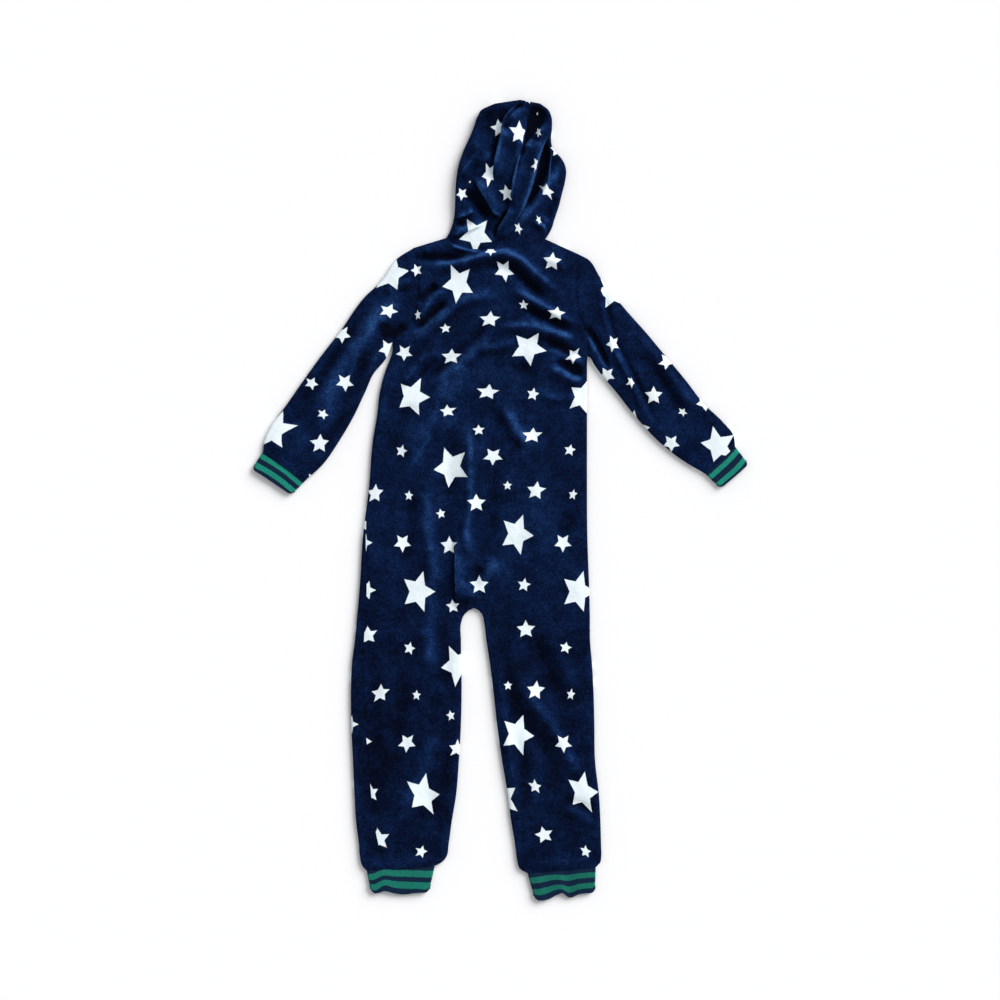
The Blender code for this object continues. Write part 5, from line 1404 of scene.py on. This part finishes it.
def make_rib(name, edges, dark, light):
    """Rib-knitted cotton with elastane: fine wales, green stripes knitted in, shade between the ribs."""
    skin, tree, shader = new_material(name)
    ground = add_node(tree, "ShaderNodeTexCoord").outputs["Object"]
    place = add_node(tree, "ShaderNodeUVMap", {"uv_map": "print"})
    axes = add_node(tree, "ShaderNodeSeparateXYZ", (), place)
    # The stripes' edges are uneven by half of a course of the knit, which is 0.9 mm deep.
    uneven = add_node(tree, MATH, "MULTIPLY", noise_share(tree, ground, 2.0, 1.0), 0.5 * MM)
    depth = add_node(tree, MATH, "ADD", add_node(tree, MATH, "MULTIPLY", axes.outputs[1], -1.0), uneven)
    green = None
    for edge in edges:
        on, off = (add_node(tree, "ShaderNodeMapRange", (), depth, (at - blur) * MM, (at + blur) * MM)
                   for at, blur in zip(edge, (STRIPE_BLUR, -STRIPE_BLUR)))
        band = add_node(tree, MATH, "MULTIPLY", on, off)
        green = band if green is None else add_node(tree, MATH, "MAXIMUM", green, band)
    # Painted shade between the ribs and painted light on their tops, with random fibre tone.
    turns = add_node(tree, MATH, "DIVIDE", axes, RIB_PITCH * MM)
    rib = add_node(tree, MATH, "MULTIPLY", add_node(tree, MATH, "PINGPONG", turns, 0.5), 2.0)
    fibre = noise_share(tree, ground, 1.6, 2.0, 0.25, 0.75)
    lit = add_node(tree, MATH, "ADD", add_node(tree, MATH, "MULTIPLY", rib, 0.6),
                   add_node(tree, MATH, "MULTIPLY", fibre, 0.4))
    navy = add_node(tree, MIX, COLOURS, lit, A="#03122A", B="#0D2944")
    stripe = add_node(tree, MIX, COLOURS, lit, A=dark, B=light)
    loops = add_node(tree, "ShaderNodeTexWave", {"bands_direction": "Y"}, Vector=place,
                     Scale=1000 / 0.9 / WAVE_TURN, Distortion=0.4)
    bump = add_node(tree, "ShaderNodeBump", (), Strength=0.4, Distance=0.3 * MM, Height=loops)
    set_inputs(tree, shader, Base_Color=add_node(tree, MIX, COLOURS, green, A=navy, B=stripe), Roughness=0.9,
               Specular_IOR_Level=0.12, Sheen_Weight=0.03, Normal=bump)
    return skin


def make_tape():
    """Woven polyester zip tape: a close herringbone with a slight gloss."""
    skin, tree, shader = new_material("woven polyester tape")
    ground = add_node(tree, "ShaderNodeTexCoord").outputs["Object"]
    weave = add_node(tree, "ShaderNodeTexWave", {"bands_direction": "DIAGONAL"}, Vector=ground,
                     Scale=1000 / 1.0 / WAVE_TURN, Distortion=0.5).outputs[1]
    bump = add_node(tree, "ShaderNodeBump", (), Strength=0.4, Distance=0.2 * MM, Height=weave)
    tone = add_node(tree, MIX, COLOURS, weave, A="#0B1630", B="#1D2C52")
    set_inputs(tree, shader, Base_Color=tone, Roughness=0.7, Normal=bump)
    return skin


def make_coil():
    """Nylon monofilament coil, dyed navy: smooth with a tight gloss."""
    skin, tree, shader = new_material("nylon coil")
    ground = add_node(tree, "ShaderNodeTexCoord").outputs["Object"]
    tone = add_node(tree, MIX, COLOURS, noise_share(tree, ground, 3.0, 1.0), A="#0E1A38", B="#1A2B55")
    set_inputs(tree, shader, Base_Color=tone, Roughness=0.32)
    return skin


def make_thread():
    """Spun polyester thread, a shade lighter than the fleece."""
    skin, tree, shader = new_material("spun polyester thread")
    ground = add_node(tree, "ShaderNodeTexCoord").outputs["Object"]
    tone = add_node(tree, MIX, COLOURS, noise_share(tree, ground, 0.9, 1.0), A="#152448", B="#2A3E70")
    set_inputs(tree, shader, Base_Color=tone, Roughness=0.75, Sheen_Weight=0.1)
    return skin


def make_metal():
    """Die-cast zinc with brushed nickel plate: satin with fine scratches along the zip."""
    skin, tree, shader = new_material("brushed nickel plate")
    ground = add_node(tree, "ShaderNodeTexCoord").outputs["Object"]
    along = add_node(tree, "ShaderNodeMapping", (), ground, Scale=(1.0, 0.08, 1.0))
    scratch = noise_share(tree, along, 0.5, 3.0)
    tone = add_node(tree, MIX, COLOURS, scratch, A="#A8AAAE", B="#C9CBCF")
    rough = add_node(tree, "ShaderNodeMapRange", (), scratch, To_Min=0.26, To_Max=0.42)
    bump = add_node(tree, "ShaderNodeBump", (), Strength=0.2, Distance=0.05 * MM, Height=scratch)
    set_inputs(tree, shader, Base_Color=tone, Metallic=1.0, Roughness=rough, Normal=bump)
    return skin


# ---------------------------------------------------------------- zip and stitches

STITCHES = {"Pitch": 3.4 * MM, "Length": 2.7 * MM, "Thread": 0.55 * MM}
STITCH_Z = 0.05
ZIP_STITCH_ASIDE = 9.5  # from the zip's centre line to its stitches
ZIP_STITCH_TOP_Y = 338
FACE_HEM = 6.0          # from the edge of the face opening to its stitches
COIL = {"Pitch": 1.5 * MM, "Half width": 2.8 * MM, "Wire": 0.95 * MM}
COIL_Z = 3.8


def line_piece(name, points):
    """A bare line of points in millimetres, for a Geometry Nodes tree to follow."""
    mesh = bpy.data.meshes.new(name)
    pairs = [(k, k + 1) for k in range(len(points) - 1)]
    mesh.from_pydata((np.asarray(points, float) * MM).tolist(), pairs, [])
    return link(name, mesh)


def zip_line(offset, z, start_y, end_y):
    """Points beside the zip's centre line."""
    return [(centre_x(y) + offset, y, z) for y in np.linspace(start_y, end_y, 30)]


def face_line(side):
    """Points along the hem of the face opening, on the hood's lower layer."""
    ends = [hood_row(side, up, True, 20)[-1] for up in np.linspace(0.06, 0.76, 40)]
    return [(x + side * FACE_HEM, y, STITCH_Z) for x, y in ends]


# ---------------------------------------------------------------- light and camera

FLOOR_HALF = 8.0        # in metres, as the height of the floor and the view
FLOOR_Z = -0.0006
KEY_FROM = (0.60, 0.52, 0.52)
KEY_STRENGTH = 3.2
KEY_SOFTNESS = 40
FILL_STRENGTH = 0.52
VIEW_DISTANCE = 5.0
VIEW_WIDTH = 1.5
SENSOR = 36


def make_stage():
    """A plain pale floor, a soft key from the upper right, an even fill, and the camera overhead."""
    mesh = bpy.data.meshes.new("floor")
    corners = [(x * FLOOR_HALF, y * FLOOR_HALF, FLOOR_Z) for x, y in ((-1, -1), (1, -1), (1, 1), (-1, 1))]
    mesh.from_pydata(corners, [], [(0, 1, 2, 3)])
    paint, tree, shader = new_material("matt white paper")
    set_inputs(tree, shader, Base_Color="#F8F8F8", Roughness=1.0, Specular_IOR_Level=0.0)
    mesh.materials.append(paint)
    link("floor", mesh)
    key = bpy.data.lights.new("key", "SUN")
    key.energy = KEY_STRENGTH
    key.angle = math.radians(KEY_SOFTNESS)
    lamp = link("key", key)
    lamp.rotation_euler = Vector(KEY_FROM).to_track_quat("Z", "Y").to_euler()
    world = bpy.data.worlds.new("even fill")
    world.use_nodes = True
    set_inputs(world.node_tree, world.node_tree.nodes["Background"], "#FBFCFF", FILL_STRENGTH)
    bpy.context.scene.world = world
    bpy.context.scene.view_settings.view_transform = "Standard"
    camera = bpy.data.cameras.new("camera")
    camera.lens = SENSOR * VIEW_DISTANCE / VIEW_WIDTH
    camera.sensor_width = SENSOR
    camera.clip_end = 50
    eye = link("camera", camera)
    eye.location = (0, 0, VIEW_DISTANCE)
    bpy.context.scene.camera = eye


# ---------------------------------------------------------------- assembly

# Where each cuff's two green stripes begin and end, in mm below its seam, and their colours.
STRIPES = {
    "wrist_cuff_left": ("left wrist", ((0.5, 7.6), (15.0, 23.0)), "#0C6355", "#229A84"),
    "wrist_cuff_right": ("right wrist", ((5.0, 12.4), (21.0, 28.0)), "#0C6355", "#229A84"),
    "ankle_cuff_left": ("left ankle", ((3.3, 12.9), (19.7, 29.3)), "#0B594C", "#1E8270"),
    "ankle_cuff_right": ("right ankle", ((7.6, 16.0), (24.2, 32.8)), "#0A5347", "#1B7766")}

SIDES = (("left", -1), ("right", 1))

OUTLINE = Outline(garment_outlines())
star = star_group()
fleece = make_fleece("printed polyester fleece", BODY_STARS, TILE, star)
lying = HOOD_PRINT(np.array([row[:2] for row in HOOD_STARS], float)).tolist()
hood_fleece = make_fleece("printed polyester fleece, hood",
                          [(*at, *row[2:]) for at, row in zip(lying, HOOD_STARS)], HOOD_TILE, star)
ribs = {name: make_rib("rib knit, " + place, *look) for name, (place, *look) in STRIPES.items()}
thread, coil, tape, metal = make_thread(), make_coil(), make_tape(), make_metal()

panels = {
    "back": make_back(fleece),
    "front_left": make_front("front_left_cloth", -1, LEFT_FRONT_PRINT, fleece),
    "front_right": make_front("front_right_cloth", 1, RIGHT_FRONT_PRINT, fleece),
    "sleeve_left": make_sleeve("sleeve_left_cloth", -1, LEFT_SLEEVE_PRINT, fleece),
    "sleeve_right": make_sleeve("sleeve_right_cloth", 1, RIGHT_SLEEVE_PRINT, fleece),
    "hood_left": make_hood_half("hood_left_cloth", -1, hood_fleece),
    "hood_right": make_hood_half("hood_right_cloth", 1, hood_fleece)}
for name in CUFFS:
    panels[name] = make_cuff(name, ribs[name])

sewing = stitch_tree(thread)
rows = {}
for word, side in SIDES:
    beside = zip_line(side * ZIP_STITCH_ASIDE, STITCH_Z, ZIP_END_Y, ZIP_STITCH_TOP_Y)
    rows["front_" + word] = [grow(line_piece("zip_stitches_" + word, beside), sewing, STITCHES)]
for word, side in SIDES:
    rows["hood_" + word] = [grow(line_piece("face_stitches_" + word, face_line(side)), sewing, STITCHES)]
teeth = grow(line_piece("zip_coil", zip_line(0, COIL_Z, ZIP_END_Y + 1, ZIP_TOP_Y - 1)), coil_tree(coil), COIL)

for node, piece in panels.items():
    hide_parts(node)
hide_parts("zip_chain")
for piece in [*panels.values(), *(row for some in rows.values() for row in some), teeth]:
    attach(piece, "garment")
for node, skin in (("zip_tape_left", tape), ("zip_tape_right", tape), ("zip_slider", metal),
                   ("pull_tab", metal)):
    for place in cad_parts[node].material_slots:
        place.material = skin

make_stage()
